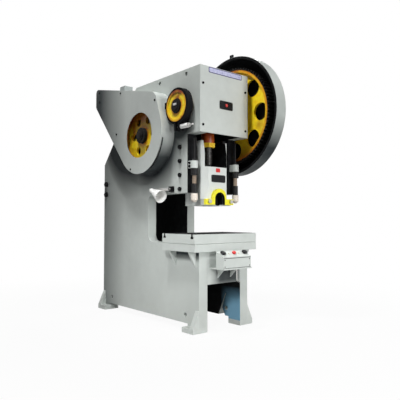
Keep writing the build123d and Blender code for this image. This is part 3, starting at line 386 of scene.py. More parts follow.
def apron_painted_shadow(f):
    """Painted shadow on the apron, below the control tray."""
    low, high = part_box("control_tray")
    across = f.both(f.span(f.x, low[X], low[X] + TRAY_NEAR), f.span(f.x, high[X] + TRAY_FAR, high[X]))
    drop = f.span(f.z, low[Z] - TRAY_DROP[0], low[Z] - TRAY_DROP[1], 0.0, TRAY_SHARE)
    return f.both(across, drop, f.below(f.z, high[Z]))


frame_inside = turned_in(FRAME_MIDDLE)
dress(enamel("wall_enamel", FRAME_TONE, wall_inside, inside_colour=wall_inside_colour, painted_shade_mask=wall_painted_shade),
      "left_side_wall", "right_side_wall")
dress(enamel("apron_enamel", COVER_TONE, frame_inside, dusty=False, painted_shade_mask=apron_painted_shadow), "front_apron")
dress(enamel("plate_enamel", COVER_TONE, frame_inside, dusty=False),
      "rear_tie_plate", "head_top_plate", "head_rear_plate")
dress(enamel("bed_enamel", COVER_TONE), "bed_table", "feet", "motor_bracket", "control_tray")
dress(enamel("cover_enamel", COVER_TONE, dusty=False),
      "head_front_cover", "control_box", "stop_bracket_left", "stop_bracket_right")
dress(enamel("motor_enamel", MOTOR_TONE, dusty=False), "motor_frame", "motor_cowl", "motor_terminal_box")

# %% [markdown]
# ## Guards and ram
# The guards are thin sheet: enamelled outside and black inside. Their inside is found from the
# direction of the surface, because a face that looks at the middle of a shell is an inner face.
# Painted shade darkens their rims towards the bottom, the flywheel guard's tail and the top of the
# gear guard. The ram is enamelled too, but the slot for the rod and the recess behind the shank
# clamp stay dark.

# %% Guards and ram
FLYWHEEL_GUARD_MIDDLE = (-0.38, 0.2, 2.05)
GEAR_GUARD_MIDDLE = (0.381, -0.45, 2.0)
GEAR_GUARD_INNER = 0.598
LIP_X = 0.3185
LUG_LOW = 2.6504
# ranges and shares of painted shade on the guards
GUARD_TAIL, GUARD_TAIL_SHARE = (0.14, 0.68), 0.98
GUARD_RIM, GUARD_RIM_SHARE = (1.82, 1.60), 0.97
GEAR_RIM, GEAR_RIM_SHARES = (1.98, 1.68), (0.24, 1.0)
GEAR_CROWN, GEAR_CROWN_SHARE = (2.15, 2.50), 0.52
RAM_SLOT_HALF, RAM_SLOT_LOW = 0.1394, 1.4992
RECESS_HALF, RECESS_TOP, RECESS_FRONT = 0.0625, 1.262, -0.7594


def guard_painted_shade(f):
    """Painted shade on the flywheel's guard, darker towards its tail and down its rim."""
    tail = f.span(f.y, *GUARD_TAIL, 0.0, GUARD_TAIL_SHARE)
    rim = f.both(f.above(f.x, GUARD_X + THIN), f.span(f.z, *GUARD_RIM, 0.0, GUARD_RIM_SHARE))
    return f.either(tail, rim)


def gear_guard_painted_shade(f):
    """Painted shade down the gear guard's rim, and on top of it."""
    painted_shade_share = f.either(f.span(f.z, *GEAR_RIM, *GEAR_RIM_SHARES), f.span(f.z, *GEAR_CROWN, 0.0, GEAR_CROWN_SHARE))
    return f.both(f.below(f.x, GEAR_GUARD_X - THIN), painted_shade_share)


def gear_guard_inside(f):
    """Inner faces of the gear guard, the face of its lip and its lifting lug."""
    inner = turned_in(GEAR_GUARD_MIDDLE)(f)
    radius = f.reach(f.y, f.z, (CRANK_Y, CRANK_Z))
    lip = f.both(f.below(radius, GEAR_GUARD_INNER), f.below(f.x, LIP_X))
    return f.either(inner, lip, f.above(f.z, LUG_LOW))


def ram_inside(f):
    """The rod's slot, and the recess behind the arch of the shank clamp."""
    slot = f.both(f.within(f.x, -RAM_SLOT_HALF, RAM_SLOT_HALF), f.above(f.z, RAM_SLOT_LOW))
    behind = f.both(f.above(f.y, RECESS_FRONT), f.below(f.z, RECESS_TOP))
    return f.either(slot, f.both(behind, f.within(f.x, -RECESS_HALF, RECESS_HALF)))


guard_inside = turned_in(FLYWHEEL_GUARD_MIDDLE)
dress(enamel("flywheel_guard_enamel", COVER_TONE, guard_inside, dusty=False, painted_shade_mask=guard_painted_shade),
      "flywheel_guard")
dress(enamel("gear_guard_enamel", FRAME_TONE, gear_guard_inside, dusty=False, painted_shade_mask=gear_guard_painted_shade),
      "gear_guard")
dress(enamel("ram_enamel", RAM_TONE, ram_inside, dusty=False), "ram")

# %% [markdown]
# ## Yellow wheels
# The back gear, the flywheel and the brake drum are painted a warm safety yellow with dark red
# stains in spots. Painted shade turns it orange near hub and rim, and dark red along a band of
# heights set from the axle. Teeth and hubs are dark with grease. Most of this depends on the
# distance from the wheel's axle, so each finish reads a radius and ramps along it.

# %% Yellow wheels
YELLOW, BRIGHT = (0.95, 0.62, 0.012), (0.97, 0.77, 0.030)
ORANGE, ORANGE_SHARE = (0.60, 0.17, 0.008), 0.85
# dark red of the stains in spots, and of the painted shade along a band of heights
STAIN_AND_SHADE, SPOT_SHARE, SHADE_RUN_SHARE = (0.22, 0.025, 0.006), 0.8, 0.9
GREASE, GREASE_WORN, TOOTH_GLINT = (0.010, 0.010, 0.010), (0.022, 0.021, 0.020), (0.22, 0.21, 0.20)
WHEEL_GLOSS, GREASE_DULLER = (0.24, 0.42), 0.25
WHEEL_SHEEN, GREASE_SHEEN = 0.2, 0.05
BLOTCHES, SHADES, SMEARS, GLINTS, PORES = 9.0, 30.0, 120.0, 45.0, 180.0  # scales of the noises
SHADE_RANGE, SPOT_RANGE, GLINT_RANGE = (0.35, 0.65), (0.56, 0.68), (0.45, 0.6)
WOBBLE_SHARE = 1.6
TOOTH_ROUND, WHEEL_ROUND, PORE_HEIGHT = 0.002, 0.003, 0.0006


def wheel_yellow(name, axle, hub, rim, spread, spots, shade_run):
    """Yellow enamel from hub to rim: painted shade in orange within a spread of both, dark red stains
    in spots and painted shade in dark red along a run of heights above the axle, and grease inside the hub
    and outside the rim."""
    f = Finish(name)
    radius = f.reach(f.y, f.z, axle)
    blotch = f.noise(BLOTCHES, detail=5.0, roughness=0.6)
    wobble = f.both(f.math("SUBTRACT", blotch, 0.5), spread * WOBBLE_SHARE)
    loose = f.math("ADD", radius, wobble)
    # painted shade in orange near hub and rim
    rim_hub_shade = f.either(f.span(loose, hub + spread, hub), f.span(loose, rim - spread, rim))
    paint = f.mix(f.span(f.noise(SHADES), *SHADE_RANGE), YELLOW, BRIGHT)
    paint = f.mix(f.both(rim_hub_shade, ORANGE_SHARE), paint, ORANGE)
    paint = f.mix(f.both(f.span(f.noise(spots, detail=3.0), *SPOT_RANGE), SPOT_SHARE), paint, STAIN_AND_SHADE)
    # painted shade in dark red along a band of heights from the axle
    height = f.math("ADD", f.math("SUBTRACT", f.z, axle[1]), wobble)
    paint = f.mix(f.span(height, *shade_run, 0.0, SHADE_RUN_SHARE), paint, STAIN_AND_SHADE)
    black = f.either(f.below(radius, hub), f.above(radius, rim))
    grease = f.mix(f.span(f.noise(SMEARS), *SOFT), GREASE, GREASE_WORN)
    glint = f.both(f.edges(TOOTH_ROUND), f.span(f.noise(GLINTS), *GLINT_RANGE))
    f.colour(f.mix(black, paint, f.mix(glint, grease, TOOTH_GLINT)))
    f.rough(f.math("ADD", f.span(blotch, *SOFT, *WHEEL_GLOSS), f.both(black, GREASE_DULLER)))
    f.sheen(f.span(black, 0.0, 1.0, WHEEL_SHEEN, GREASE_SHEEN))
    f.bump(f.noise(PORES, detail=3.0), PORE_HEIGHT, WHEEL_ROUND)
    return f


dress(wheel_yellow("gear_enamel", (CRANK_Y, CRANK_Z), hub=0.060, rim=0.4660, spread=0.05, spots=2.2,
                   shade_run=(-0.20, -0.48)), "bull_gear")
dress(wheel_yellow("flywheel_enamel", (DRIVE_Y, DRIVE_Z), hub=0.079, rim=0.290, spread=0.05, spots=5.0,
                   shade_run=(0.02, 0.17)), "flywheel")
dress(wheel_yellow("brake_enamel", (CRANK_Y, CRANK_Z), hub=0.070, rim=0.1455, spread=0.026, spots=9.0,
                   shade_run=(0.07, 0.15)), "brake_drum")

# %% [markdown]
# ## Iron, steel, bronze and rubber
# The smaller finishes share one recipe: a base colour with two tones of noise, a roughness that
# follows the same noise, a fine relief and softened edges. Turned steel differs in its noise, which
# is drawn out into fine lines, and its metallic value is set straight on the shader.

# %% Iron, steel, bronze and rubber
GRAIN_RANGE = (0.32, 0.68)
WEAR, WEAR_RANGE, WORN_ROUND = 70.0, (0.35, 0.6), 0.002


def surface(name, dark, light, rough, grain=90.0, relief=0.0004, metal=0.0, stretch=None, edge=None,
            sheen=0.5):
    """A finish of two tones of noise with matching roughness and relief, and edges worn to another colour."""
    f = Finish(name)
    pattern = f.noise(grain, detail=5.0, roughness=0.6, stretch=stretch)
    tone = f.mix(f.span(pattern, *GRAIN_RANGE), dark, light)
    if edge:
        tone = f.mix(f.both(f.edges(WORN_ROUND), f.span(f.noise(WEAR), *WEAR_RANGE)), tone, edge)
    f.colour(tone)
    f.rough(f.span(pattern, *SOFT, *rough))
    f.shader.inputs["Metallic"].default_value = metal
    f.sheen(sheen)
    f.bump(pattern, relief, WORN_ROUND)
    return f


iron = surface("black_iron", (0.004, 0.004, 0.005), (0.014, 0.014, 0.015), rough=(0.5, 0.7), grain=130.0,
               relief=0.0006, edge=(0.07, 0.07, 0.07), sheen=0.03)
scraped = surface("scraped_iron", (0.008, 0.008, 0.009), (0.03, 0.03, 0.03), rough=(0.4, 0.6), grain=70.0,
                  sheen=0.2)
steel = surface("turned_steel", (0.36, 0.36, 0.35), (0.62, 0.61, 0.59), rough=(0.22, 0.42), grain=160.0,
                relief=0.0002, metal=1.0, stretch=(1.0, 6.0, 6.0))
# The pale edges of oiled steel are worn steel and also painted glints.
oiled = surface("oiled_steel", (0.005, 0.005, 0.005), (0.018, 0.017, 0.017), rough=(0.50, 0.66), grain=110.0,
                relief=0.0003, edge=(0.09, 0.09, 0.09), sheen=0.08)
plated = surface("plated_spring", (0.70, 0.70, 0.69), (0.86, 0.86, 0.84), rough=(0.25, 0.4), grain=120.0)
bronze = surface("bearing_bronze", (0.42, 0.22, 0.06), (0.62, 0.38, 0.12), rough=(0.3, 0.45), grain=120.0,
                 relief=0.0002, metal=1.0)
rubber = surface("belt_rubber", (0.008, 0.008, 0.008), (0.02, 0.02, 0.02), rough=(0.6, 0.8), grain=300.0)
dark_plate = surface("dark_primer", INSIDE_BLACK, INSIDE_BLACK_PALE, rough=(0.6, 0.8), grain=60.0)
dress(iron, "rear_tie_rods", "gib_screws", "brake_band", "brake_anchor", "lamp_bracket", "shank_set_screw")
dress(scraped, "gib_left", "gib_right")
dress(steel, "drive_pinion", "motor_shaft", "motor_pulley", "rod_bolts", "clamp_nuts", "brake_bolt",
      "tool_hook", "lamp_arm")
dress(oiled, "crankshaft", "drive_shaft", "adjusting_screw")
dress(plated, "brake_spring")
dress(bronze, "crank_bearings", "drive_bearings")
dress(rubber, "v_belts")
dress(dark_plate, "bed_rear_wall")

# %% [markdown]
# ## Bright enamels, plastics and glass
# The small coloured parts are what the eye finds first: the yellow clamp round the die shank, the
# red rod with its orange nut, the buttons and the lamp. They use the same recipe, with colours that
# are kept a little below full brightness so that light can still shade them. The arch of the clamp
# is black inside, which a second mask paints over the yellow.

# %% Bright enamels, plastics and glass
ARCH_PLACE, ARCH_REACH = (0.0, 1.197), 0.0626
FROSTED = 0.4


def clamp_finish():
    """Yellow enamel, black in the arch and between its feet."""
    f = surface("clamp_enamel", (0.74, 0.66, 0.01), (0.86, 0.80, 0.03), rough=(0.28, 0.42), grain=40.0)
    arch = f.below(f.reach(f.x, f.z, ARCH_PLACE), ARCH_REACH)
    foot = f.both(f.within(f.x, -ARCH_REACH, ARCH_REACH), f.below(f.z, ARCH_PLACE[1]))
    f.colour(f.mix(f.either(arch, foot), f.painted(), GREASE))
    return f


rod_red = surface("rod_enamel", (0.24, 0.022, 0.007), (0.58, 0.13, 0.014), rough=(0.30, 0.48), grain=12.0)
nut_orange = surface("nut_enamel", (0.92, 0.52, 0.020), (0.97, 0.70, 0.05), rough=(0.30, 0.48), grain=30.0)
black_button = surface("button_plastic", (0.008, 0.008, 0.009), (0.018, 0.018, 0.019), rough=(0.28, 0.4),
                       grain=300.0, sheen=0.12)
red = surface("stop_plastic", (0.50, 0.010, 0.010), (0.62, 0.02, 0.015), rough=(0.25, 0.38), grain=200.0)
lens = surface("pilot_lens", (0.62, 0.60, 0.50), (0.75, 0.72, 0.60), rough=(0.12, 0.2), grain=200.0)
lamp_white = surface("lamp_enamel", (0.84, 0.84, 0.82), (0.93, 0.93, 0.91), rough=(0.22, 0.34), grain=60.0)
glass = surface("frosted_glass", (0.88, 0.88, 0.84), (0.95, 0.95, 0.92), rough=(0.3, 0.4), grain=150.0)
glass.shader.inputs["Transmission Weight"].default_value = FROSTED
dress(clamp_finish(), "shank_clamp")
dress(rod_red, "connecting_rod", "rod_cap")
dress(nut_orange, "lock_nut")
dress(black_button, "palm_button_left", "palm_button_right")
dress(red, "stop_button")
dress(lens, "indicator_lamps")
dress(lamp_white, "lamp_shade")
dress(glass, "lamp_bulb")

# %% [markdown]
# ## Bolster and stop screws
# The bolster is painted on its sides, but its top is ground iron, dark with oil, with the fine
# marks of the grinding wheel running across it. The stop screws carry three finishes one above the
# other: bare turned steel, a blackened knob and collar, and a pale worn foot. Height picks the finish.

# %% Bolster and stop screws
SLOTS_Y, SLOT_HALF, SLOT_FLOOR, SLOT_ENDS = (-0.850, -0.447), 0.0193, 0.832, 0.3876
HOLE_PLACE, HOLE_REACH, HOLE_LOW = (0.0, -0.6485), 0.0803, 0.786
GROUND, GROUND_BRIGHT = (0.018, 0.018, 0.019), (0.055, 0.055, 0.055)
OIL, OIL_SHARE, POOLS, POOL_RANGE = (0.012, 0.011, 0.010), 0.6, 5.0, (0.45, 0.65)
MARKS, DRAWN_OUT = 900.0, (0.02, 1.0, 1.0)
STOP_FOOT_TOP, STOP_COLLAR_TOP, STOP_KNOB_LOW = 1.2425, 1.3335, 1.4105
STOP_SHEEN, STOP_GLOSS, STOP_GRAIN = 0.12, (0.3, 0.5), 160.0
STOP_RELIEF, STOP_ROUND = 0.0003, 0.003


def bolster_finish():
    """Enamelled sides and a ground, oily top with marks along x, which also lines the slots and the hole."""
    f = enamel("bolster_enamel", COVER_TONE)
    marks = f.noise(MARKS, detail=2.0, roughness=0.5, stretch=DRAWN_OUT)
    ground = f.mix(f.span(marks, *SOFT), GROUND, GROUND_BRIGHT)
    ground = f.mix(f.both(f.span(f.noise(POOLS, detail=5.0), *POOL_RANGE), OIL_SHARE), ground, OIL)
    top = f.above(f.z, BOLSTER_TOP - THIN)
    deep = f.both(f.within(f.x, -SLOT_ENDS, SLOT_ENDS), f.within(f.z, SLOT_FLOOR, BOLSTER_TOP))
    slots = [f.both(f.within(f.y, y - SLOT_HALF, y + SLOT_HALF), deep) for y in SLOTS_Y]
    hole = f.both(f.below(f.reach(f.x, f.y, HOLE_PLACE), HOLE_REACH), f.above(f.z, HOLE_LOW))
    bare = f.either(top, hole, *slots)
    f.colour(f.mix(bare, f.painted(), ground))
    f.sheen(f.span(bare, 0.0, 1.0, ENAMEL_SHEEN, 0.0))
    return f


def stop_finish():
    """Pale foot, blackened collar, bare rod, and blackened knob and stem, from the foot up."""
    f = Finish("stop_screw_steel")
    f.sheen(STOP_SHEEN)
    grain = f.noise(STOP_GRAIN)
    share = f.span(grain, *SOFT)
    bare = f.mix(share, (0.20, 0.15, 0.11), (0.34, 0.27, 0.21))
    foot = f.mix(share, (0.62, 0.55, 0.47), (0.78, 0.73, 0.66))
    black = f.mix(share, (0.008, 0.008, 0.009), (0.02, 0.02, 0.02))
    tone = f.mix(f.below(f.z, STOP_FOOT_TOP), bare, foot)
    dark = f.either(f.within(f.z, STOP_FOOT_TOP, STOP_COLLAR_TOP), f.above(f.z, STOP_KNOB_LOW))
    f.colour(f.mix(dark, tone, black))
    f.rough(f.span(grain, *SOFT, *STOP_GLOSS))
    f.bump(grain, STOP_RELIEF, STOP_ROUND)
    return f


dress(bolster_finish(), "bolster_plate")
dress(stop_finish(), "stop_screw_left", "stop_screw_right")

# %% [markdown]
# ## Surfaces from numpy grids
# Every added piece is made of grids of points: one parameter runs round the piece and the other runs
# along its profile. A grid is one array, so there is no loop over vertices. Neighbours on the grid
# become quads, points that coincide at a pole are merged, and the normals are then turned outwards.

# %% Grids into meshes
MERGE, COLLAPSE = 1e-6, 1e-7


def quads(rows, columns, start):
    """Indices of the quads on a grid whose rows close on themselves."""
    i, j = np.meshgrid(np.arange(rows), np.arange(columns - 1), indexing="ij")
    here, after = i * columns + j, (i + 1) % rows * columns + j
    return np.stack([here, after, after + 1, here + 1], axis=-1).reshape(-1, 4) + start


def piece(name, grids, finish, body, smooth=40.0):
    """Join closed grids of points into one mesh that rides on a body."""
    points, faces, count = [], [], 0
    for grid in grids:
        rows, columns, _ = grid.shape
        points.append(grid.reshape(-1, 3))
        faces.append(quads(rows, columns, count))
        count += rows * columns
    mesh = bpy.data.meshes.new(name)
    mesh.from_pydata(np.concatenate(points).tolist(), [], np.concatenate(faces).tolist())
    work = bmesh.new()
    work.from_mesh(mesh)
    bmesh.ops.remove_doubles(work, verts=work.verts, dist=MERGE)
    bmesh.ops.dissolve_degenerate(work, edges=work.edges, dist=COLLAPSE)
    bmesh.ops.recalc_face_normals(work, faces=work.faces)
    work.to_mesh(mesh)
    work.free()
    mesh.polygons.foreach_set("use_smooth", np.ones(len(mesh.polygons), dtype=bool))
    mesh.set_sharp_from_angle(angle=math.radians(smooth))
    mesh.materials.append(finish.material)
    made = bpy.data.objects.new(name, mesh)
    bpy.context.scene.collection.objects.link(made)
    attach(made, body)
    print(name, len(mesh.polygons), "faces on", body)


# %% [markdown]
# ## Turned shapes and plates
# Two kinds of grid serve most of the small pieces. A turned shape is a profile spun round an axis,
# and a plate is an outline with a height at each step of its edge. Both are made flat at the origin
# and then moved to their place, because a piece is easier to read that way.

# %% Turned shapes and plates
STEEP = 0.9  # an axis that rises more than this takes its sideways direction from y


def turn(steps):
    """Angles of one full turn, as a column."""
    return np.linspace(0.0, 2.0 * np.pi, steps, endpoint=False)[:, None]


def spun(profile, around=32, sides=0):
    """Turn a profile of radius and height round the z axis; with sides, the radius follows a polygon."""
    angle = turn(around)
    radius, height = np.asarray(profile, dtype=float).T
    swell = np.ones_like(angle)
    if sides:
        sector = 2.0 * np.pi / sides
        swell = np.cos(sector / 2.0) / np.cos(np.mod(angle, sector) - sector / 2.0)
    reach = radius * swell
    return np.stack([reach * np.cos(angle), reach * np.sin(angle), height + 0.0 * angle], axis=-1)


def aimed(grid, at, axis):
    """Move a grid so that its z axis points along axis and its origin sits at a place."""
    axis = np.asarray(axis, dtype=float) / np.linalg.norm(axis)
    across = np.cross(axis, (0.0, 0.0, 1.0) if abs(axis[Z]) < STEEP else (0.0, 1.0, 0.0))
    across = across / np.linalg.norm(across)
    return grid @ np.stack([across, np.cross(axis, across), axis]) + np.asarray(at, dtype=float)


def plate(wide, high, thick, power=14.0, bevel=0.0008, around=96):
    """A thin plate with a small bevel round its face. Its outline is a superellipse:
    the powers of x over half the width and of y over half the height add up to 1."""
    angle = turn(around)
    drop = np.array([0.0, 0.0, 0.0, bevel, 0.0])
    keep = np.array([0.0, 1.0, 1.0, 1.0, 0.0])
    height = np.array([0.0, 0.0, thick - bevel, thick, thick])
    share_x = np.sign(np.cos(angle)) * np.abs(np.cos(angle)) ** (2.0 / power)
    share_y = np.sign(np.sin(angle)) * np.abs(np.sin(angle)) ** (2.0 / power)
    x = share_x * (wide / 2.0 - drop) * keep
    y = share_y * (high / 2.0 - drop) * keep
    return np.stack([x, y, height + 0.0 * angle], axis=-1)


def facing_front(grid, at):
    """Stand a flat plate upright so that its face looks to the front, along -y."""
    turned = np.stack([grid[..., X], -grid[..., Z], grid[..., Y]], axis=-1)
    return turned + np.asarray(at, dtype=float)


# %% [markdown]
# ## Screws and bolts
# The head cover, the guards and the brackets are held by socket screws and hexagon bolts. A socket
# screw is a spun profile with a hole in its head. A hexagon head is the same spin with a radius that
# follows a hexagon, cut by a chamfer. All heads of one kind are joined into one piece.

# %% Screws and bolts
FRONT, LEFT, RIGHT, UP = (0, -1, 0), (-1, 0, 0), (1, 0, 0), (0, 0, 1)
ROUND_STEPS, HEX_SIDES = 36, 6
CHAMFER_LOW_SHARE, CHAMFER_IN_SHARE = 0.8, 0.86
SOCKET_SHARES = (0.5, 0.46, 0.35)  # its mouth and foot across, and the height of its floor
WASHER_WIDE_SHARE, WASHER_HIGH_SHARE = 1.25, 0.18
HEX_LOW_SHARE, HEX_IN_SHARE = 0.88, 0.84
COVER_SCREWS_X, COVER_SCREWS_Z = (-0.270, 0.270), (1.858, 2.235)
GUARD_SCREWS = [(-0.373, 2.141), (0.048, 1.512), (0.705, 2.425),
                (0.705, 2.320), (0.250, 2.330), (0.330, 1.905)]  # y and z
GEAR_RING, GEAR_STEP, GEAR_START = 0.57, 36, 12
BRACKET_X, BRACKET_Y, BRACKET_Z = 0.296, -0.706, (1.492, 1.523)
MOTOR_FEET_X, MOTOR_FEET_REACH, MOTOR_FEET_TOP = (-0.150, -0.010), 0.088, 2.231


def socket_screw(radius, height):
    """Round head with a chamfer and a round hole, as a profile of radius and height."""
    mouth, foot = radius * SOCKET_SHARES[0], radius * SOCKET_SHARES[1]
    floor = height * SOCKET_SHARES[2]
    outer = [(0, 0), (radius, 0), (radius, height * CHAMFER_LOW_SHARE), (radius * CHAMFER_IN_SHARE, height)]
    return spun(outer + [(mouth, height), (foot, floor), (0, floor)], ROUND_STEPS)


def hex_bolt(radius, height):
    """Hexagon head on a round washer."""
    wide, low = radius * WASHER_WIDE_SHARE, height * WASHER_HIGH_SHARE
    washer = [(0, 0), (wide, 0), (wide, low), (0, low)]
    head = [(0, low), (radius, low), (radius, height * HEX_LOW_SHARE), (radius * HEX_IN_SHARE, height),
            (0, height)]
    return [spun(washer, ROUND_STEPS), spun(head, ROUND_STEPS, HEX_SIDES)]


def screws(places, axis, radius, height):
    """Socket screws of one size at a list of places."""
    return [aimed(socket_screw(radius, height), at, axis) for at in places]


def bolts(places, axis, radius, height):
    """Hexagon bolts of one size at a list of places."""
    return [aimed(grid, at, axis) for at in places for grid in hex_bolt(radius, height)]


cover_places = [(x, COVER_Y, z) for x in COVER_SCREWS_X for z in COVER_SCREWS_Z]
cover_heads = screws(cover_places, FRONT, radius=0.011, height=0.008)
piece("cover_screws", cover_heads, iron, "frame")
guard_places = [(GUARD_X, y, z) for y, z in GUARD_SCREWS]
guard_heads = screws(guard_places, LEFT, radius=0.010, height=0.006)
piece("guard_screws", guard_heads, iron, "frame")
gear_angles = np.radians(np.arange(0, 360, GEAR_STEP) + GEAR_START)
gear_places = [(GEAR_GUARD_X, CRANK_Y + GEAR_RING * math.cos(angle), CRANK_Z + GEAR_RING * math.sin(angle))
               for angle in gear_angles]
gear_heads = bolts(gear_places, RIGHT, radius=0.012, height=0.009)
piece("gear_guard_bolts", gear_heads, iron, "frame")
bracket_heads = []
for sign, axis in ((-1, LEFT), (1, RIGHT)):
    bracket_places = [(sign * BRACKET_X, BRACKET_Y, z) for z in BRACKET_Z]
    bracket_heads += bolts(bracket_places, axis, radius=0.010, height=0.012)
piece("stop_bracket_bolts", bracket_heads, iron, "frame")
motor_places = [(x, MOTOR_Y + sign * MOTOR_FEET_REACH, MOTOR_FEET_TOP)
                for x in MOTOR_FEET_X for sign in (-1, 1)]
motor_heads = bolts(motor_places, UP, radius=0.011, height=0.012)
piece("motor_foot_bolts", motor_heads, iron, "frame")

# %% [markdown]
# ## Bare plates and lamps
# The head carries a pale strip along its upper edge and a dark window with a red lamp, and the ram
# carries a dark plate under a small red plate. They stay bare. Each is a superellipse plate,
# so its corners are rounded without a special case, and the lamp is a spun dome.

# %% Bare plates and lamps
STRIP_PLACE = (0.010, COVER_Y, 2.370)
WINDOW_PLACE, WINDOW_THICK = (0.016, COVER_Y, 2.069), 0.004
RAM_PLATE_PLACE, RAM_MARK_PLACE = (0.010, RAM_Y, 1.390), (0.004, RAM_Y, 1.469)
SQUARE = 10.0  # power of the outline of the small plates
strip_metal = surface("strip_metal", (0.36, 0.37, 0.60), (0.60, 0.61, 0.78), rough=(0.25, 0.4), grain=45.0)
strip_border = surface("strip_border", (0.035, 0.03, 0.11), (0.07, 0.06, 0.18), rough=(0.3, 0.45),
                       grain=120.0)
black_panel = surface("black_panel", (0.004, 0.004, 0.005), (0.010, 0.010, 0.012), rough=(0.3, 0.45),
                      grain=160.0, sheen=0.15)
border = plate(wide=0.424, high=0.052, thick=0.002)
strip = plate(wide=0.410, high=0.038, thick=0.003)
window = plate(wide=0.168, high=0.080, thick=WINDOW_THICK, power=SQUARE)
ram_plate = plate(wide=0.178, high=0.070, thick=0.003, power=SQUARE)
ram_mark = plate(wide=0.052, high=0.038, thick=0.003, power=SQUARE)
dome = spun([(0, 0), (0.015, 0), (0.015, 0.003), (0.013, 0.007), (0.007, 0.010), (0, 0.011)])
lamp_place = (WINDOW_PLACE[X], COVER_Y - WINDOW_THICK, WINDOW_PLACE[Z])
piece("head_strip_border", [facing_front(border, STRIP_PLACE)], strip_border, "frame")
piece("head_strip", [facing_front(strip, STRIP_PLACE)], strip_metal, "frame")
piece("head_window", [facing_front(window, WINDOW_PLACE)], black_panel, "frame")
piece("head_lamp", [aimed(dome, lamp_place, FRONT)], red, "frame")
piece("ram_plate", [facing_front(ram_plate, RAM_PLATE_PLACE)], black_panel, "ram")
piece("ram_mark", [facing_front(ram_mark, RAM_MARK_PLACE)], red, "ram")

# %% [markdown]
# ## Thread of the adjusting screw
# A thread is a tube whose radius rises and falls as a triangle wave along a helix: the wave is read
# from height over pitch minus angle over a full turn. The rod's adjusting screw shows a stretch of
# it in the slot of the ram, dark with oil but smooth enough to catch the light on its crests.

# %% Thread of the adjusting screw
THREAD_LOW, THREAD_HIGH = 1.530, 1.697
STEPS_A_PITCH = 8


def thread(radius, depth, pitch, low, high, around=40):
    """A tube with a helical ridge: the radius plus the depth times a triangle wave, which is read
    from the height over the pitch minus the angle over a full turn."""
    angle = turn(around)
    steps = int((high - low) / pitch * STEPS_A_PITCH) + 1
    height = np.linspace(low, high, steps)[None, :]
    phase = np.mod(height / pitch - angle / (2.0 * np.pi), 1.0)
    swell = radius + depth * (1.0 - np.abs(2.0 * phase - 1.0))
    body = np.stack([swell * np.cos(angle), swell * np.sin(angle), height + 0.0 * angle], axis=-1)
    foot = np.broadcast_to(np.array([0.0, 0.0, low]), (around, 1, 3))
    head = np.broadcast_to(np.array([0.0, 0.0, high]), (around, 1, 3))
    return np.concatenate([foot, body, head], axis=1)


dark_thread = surface("oiled_thread", (0.012, 0.012, 0.012), (0.05, 0.048, 0.045), rough=(0.16, 0.28),
                      relief=0.0003, sheen=0.7)
rod_thread = thread(radius=0.0381, depth=0.0035, pitch=0.012, low=THREAD_LOW, high=THREAD_HIGH)
piece("rod_thread", [rod_thread + np.array([0.0, CRANK_Y, 0.0])], dark_thread, "rod",
      smooth=60.0)

# %% [markdown]
# ## Shaft ends
# Small things tell how the press is put together. A lock plate holds the key on the end of the
# crankshaft, painted bright as the highlight there, and a dark nut closes the drive shaft, so both
# turn with their shafts: each rides on the body of its shaft and not on the frame.

# %% Shaft ends
LOCK_THICK, LOCK_RISE, KEY_SCREWS_X = 0.004, 0.012, (-0.016, 0.016)
lock = plate(wide=0.050, high=0.020, thick=LOCK_THICK, power=8.0)
key_screw = socket_screw(radius=0.005, height=0.004)
key_screws = [key_screw + np.array([x, 0.0, LOCK_THICK]) for x in KEY_SCREWS_X]
lock_place = (side("crankshaft", LOW, X), CRANK_Y, CRANK_Z + LOCK_RISE)
nut_place = (side("drive_shaft", LOW, X), DRIVE_Y, DRIVE_Z)
# the lock plate is painted bright as the highlight on the shaft end
piece("crank_lock_plate", [aimed(grid, lock_place, LEFT) for grid in [lock] + key_screws], plated, "crank")
drive_nut = bolts([nut_place], LEFT, radius=0.030, height=0.0085)
piece("drive_nut", drive_nut, oiled, "drive")

# %% [markdown]
# ## Seams, grille and welds
# Gaskets show at both seams of the control box, and the motor's cowl ends in a wire grille. A weld
# bead is a tube along a line whose radius ripples, as the torch has stepped on, and a wire ring is a
# small circle swept round a large one. The bead also serves as the grille's spokes.

# %% Seams, grille and welds
BOX_FRONT, BOX_LID, BOX_SEAM = side("control_box", LOW, Y), 0.662, 0.5735
BOX_SCREWS_X, BOX_SCREWS_Z = (-0.155, 0.155), (0.588, 0.648)
COWL_END, COWL_INNER, COWL_REACH = side("motor_cowl", HIGH, X), 0.03, 0.100
COWL_RINGS, SPOKE_STEP = 6, 45
LID_TOP, LID_SCREWS_X, LID_REACH = 2.551, (-0.152, -0.068), 0.042
WELD_X, WELD_Z = 0.3045, 0.7165
WELD_RUNS = ((-0.842, -0.808), (-0.778, -0.522), (-0.492, -0.415))
RIPPLE, RIPPLE_SHARE, STEPS_A_RIPPLE = 0.007, 0.1, 6


def bead(start, end, radius):
    """A tube along a line: its radius swells by a tenth with a sine of the length over the ripple."""
    start, end = np.asarray(start, dtype=float), np.asarray(end, dtype=float)
    length = np.linalg.norm(end - start)
    along = np.linspace(0.0, length, int(length / RIPPLE * STEPS_A_RIPPLE) + 1)
    swell = radius * (1.0 + RIPPLE_SHARE * np.sin(2.0 * np.pi * along / RIPPLE))
    radii = np.concatenate([[0.0], swell, [0.0]])
    heights = np.concatenate([[0.0], along, [length]])
    return aimed(spun(np.stack([radii, heights], axis=1), around=12), start, end - start)


def hoop(radius, thick, around=72, across=12):
    """A ring: a circle of radius thick, swept round the z axis at a distance, closed both ways."""
    angle = turn(around)
    bend = np.linspace(0.0, 2.0 * np.pi, across + 1)[None, :]
    reach = radius + thick * np.cos(bend)
    height = thick * np.sin(bend) + 0.0 * angle
    return np.stack([reach * np.cos(angle), reach * np.sin(angle), height], axis=-1)


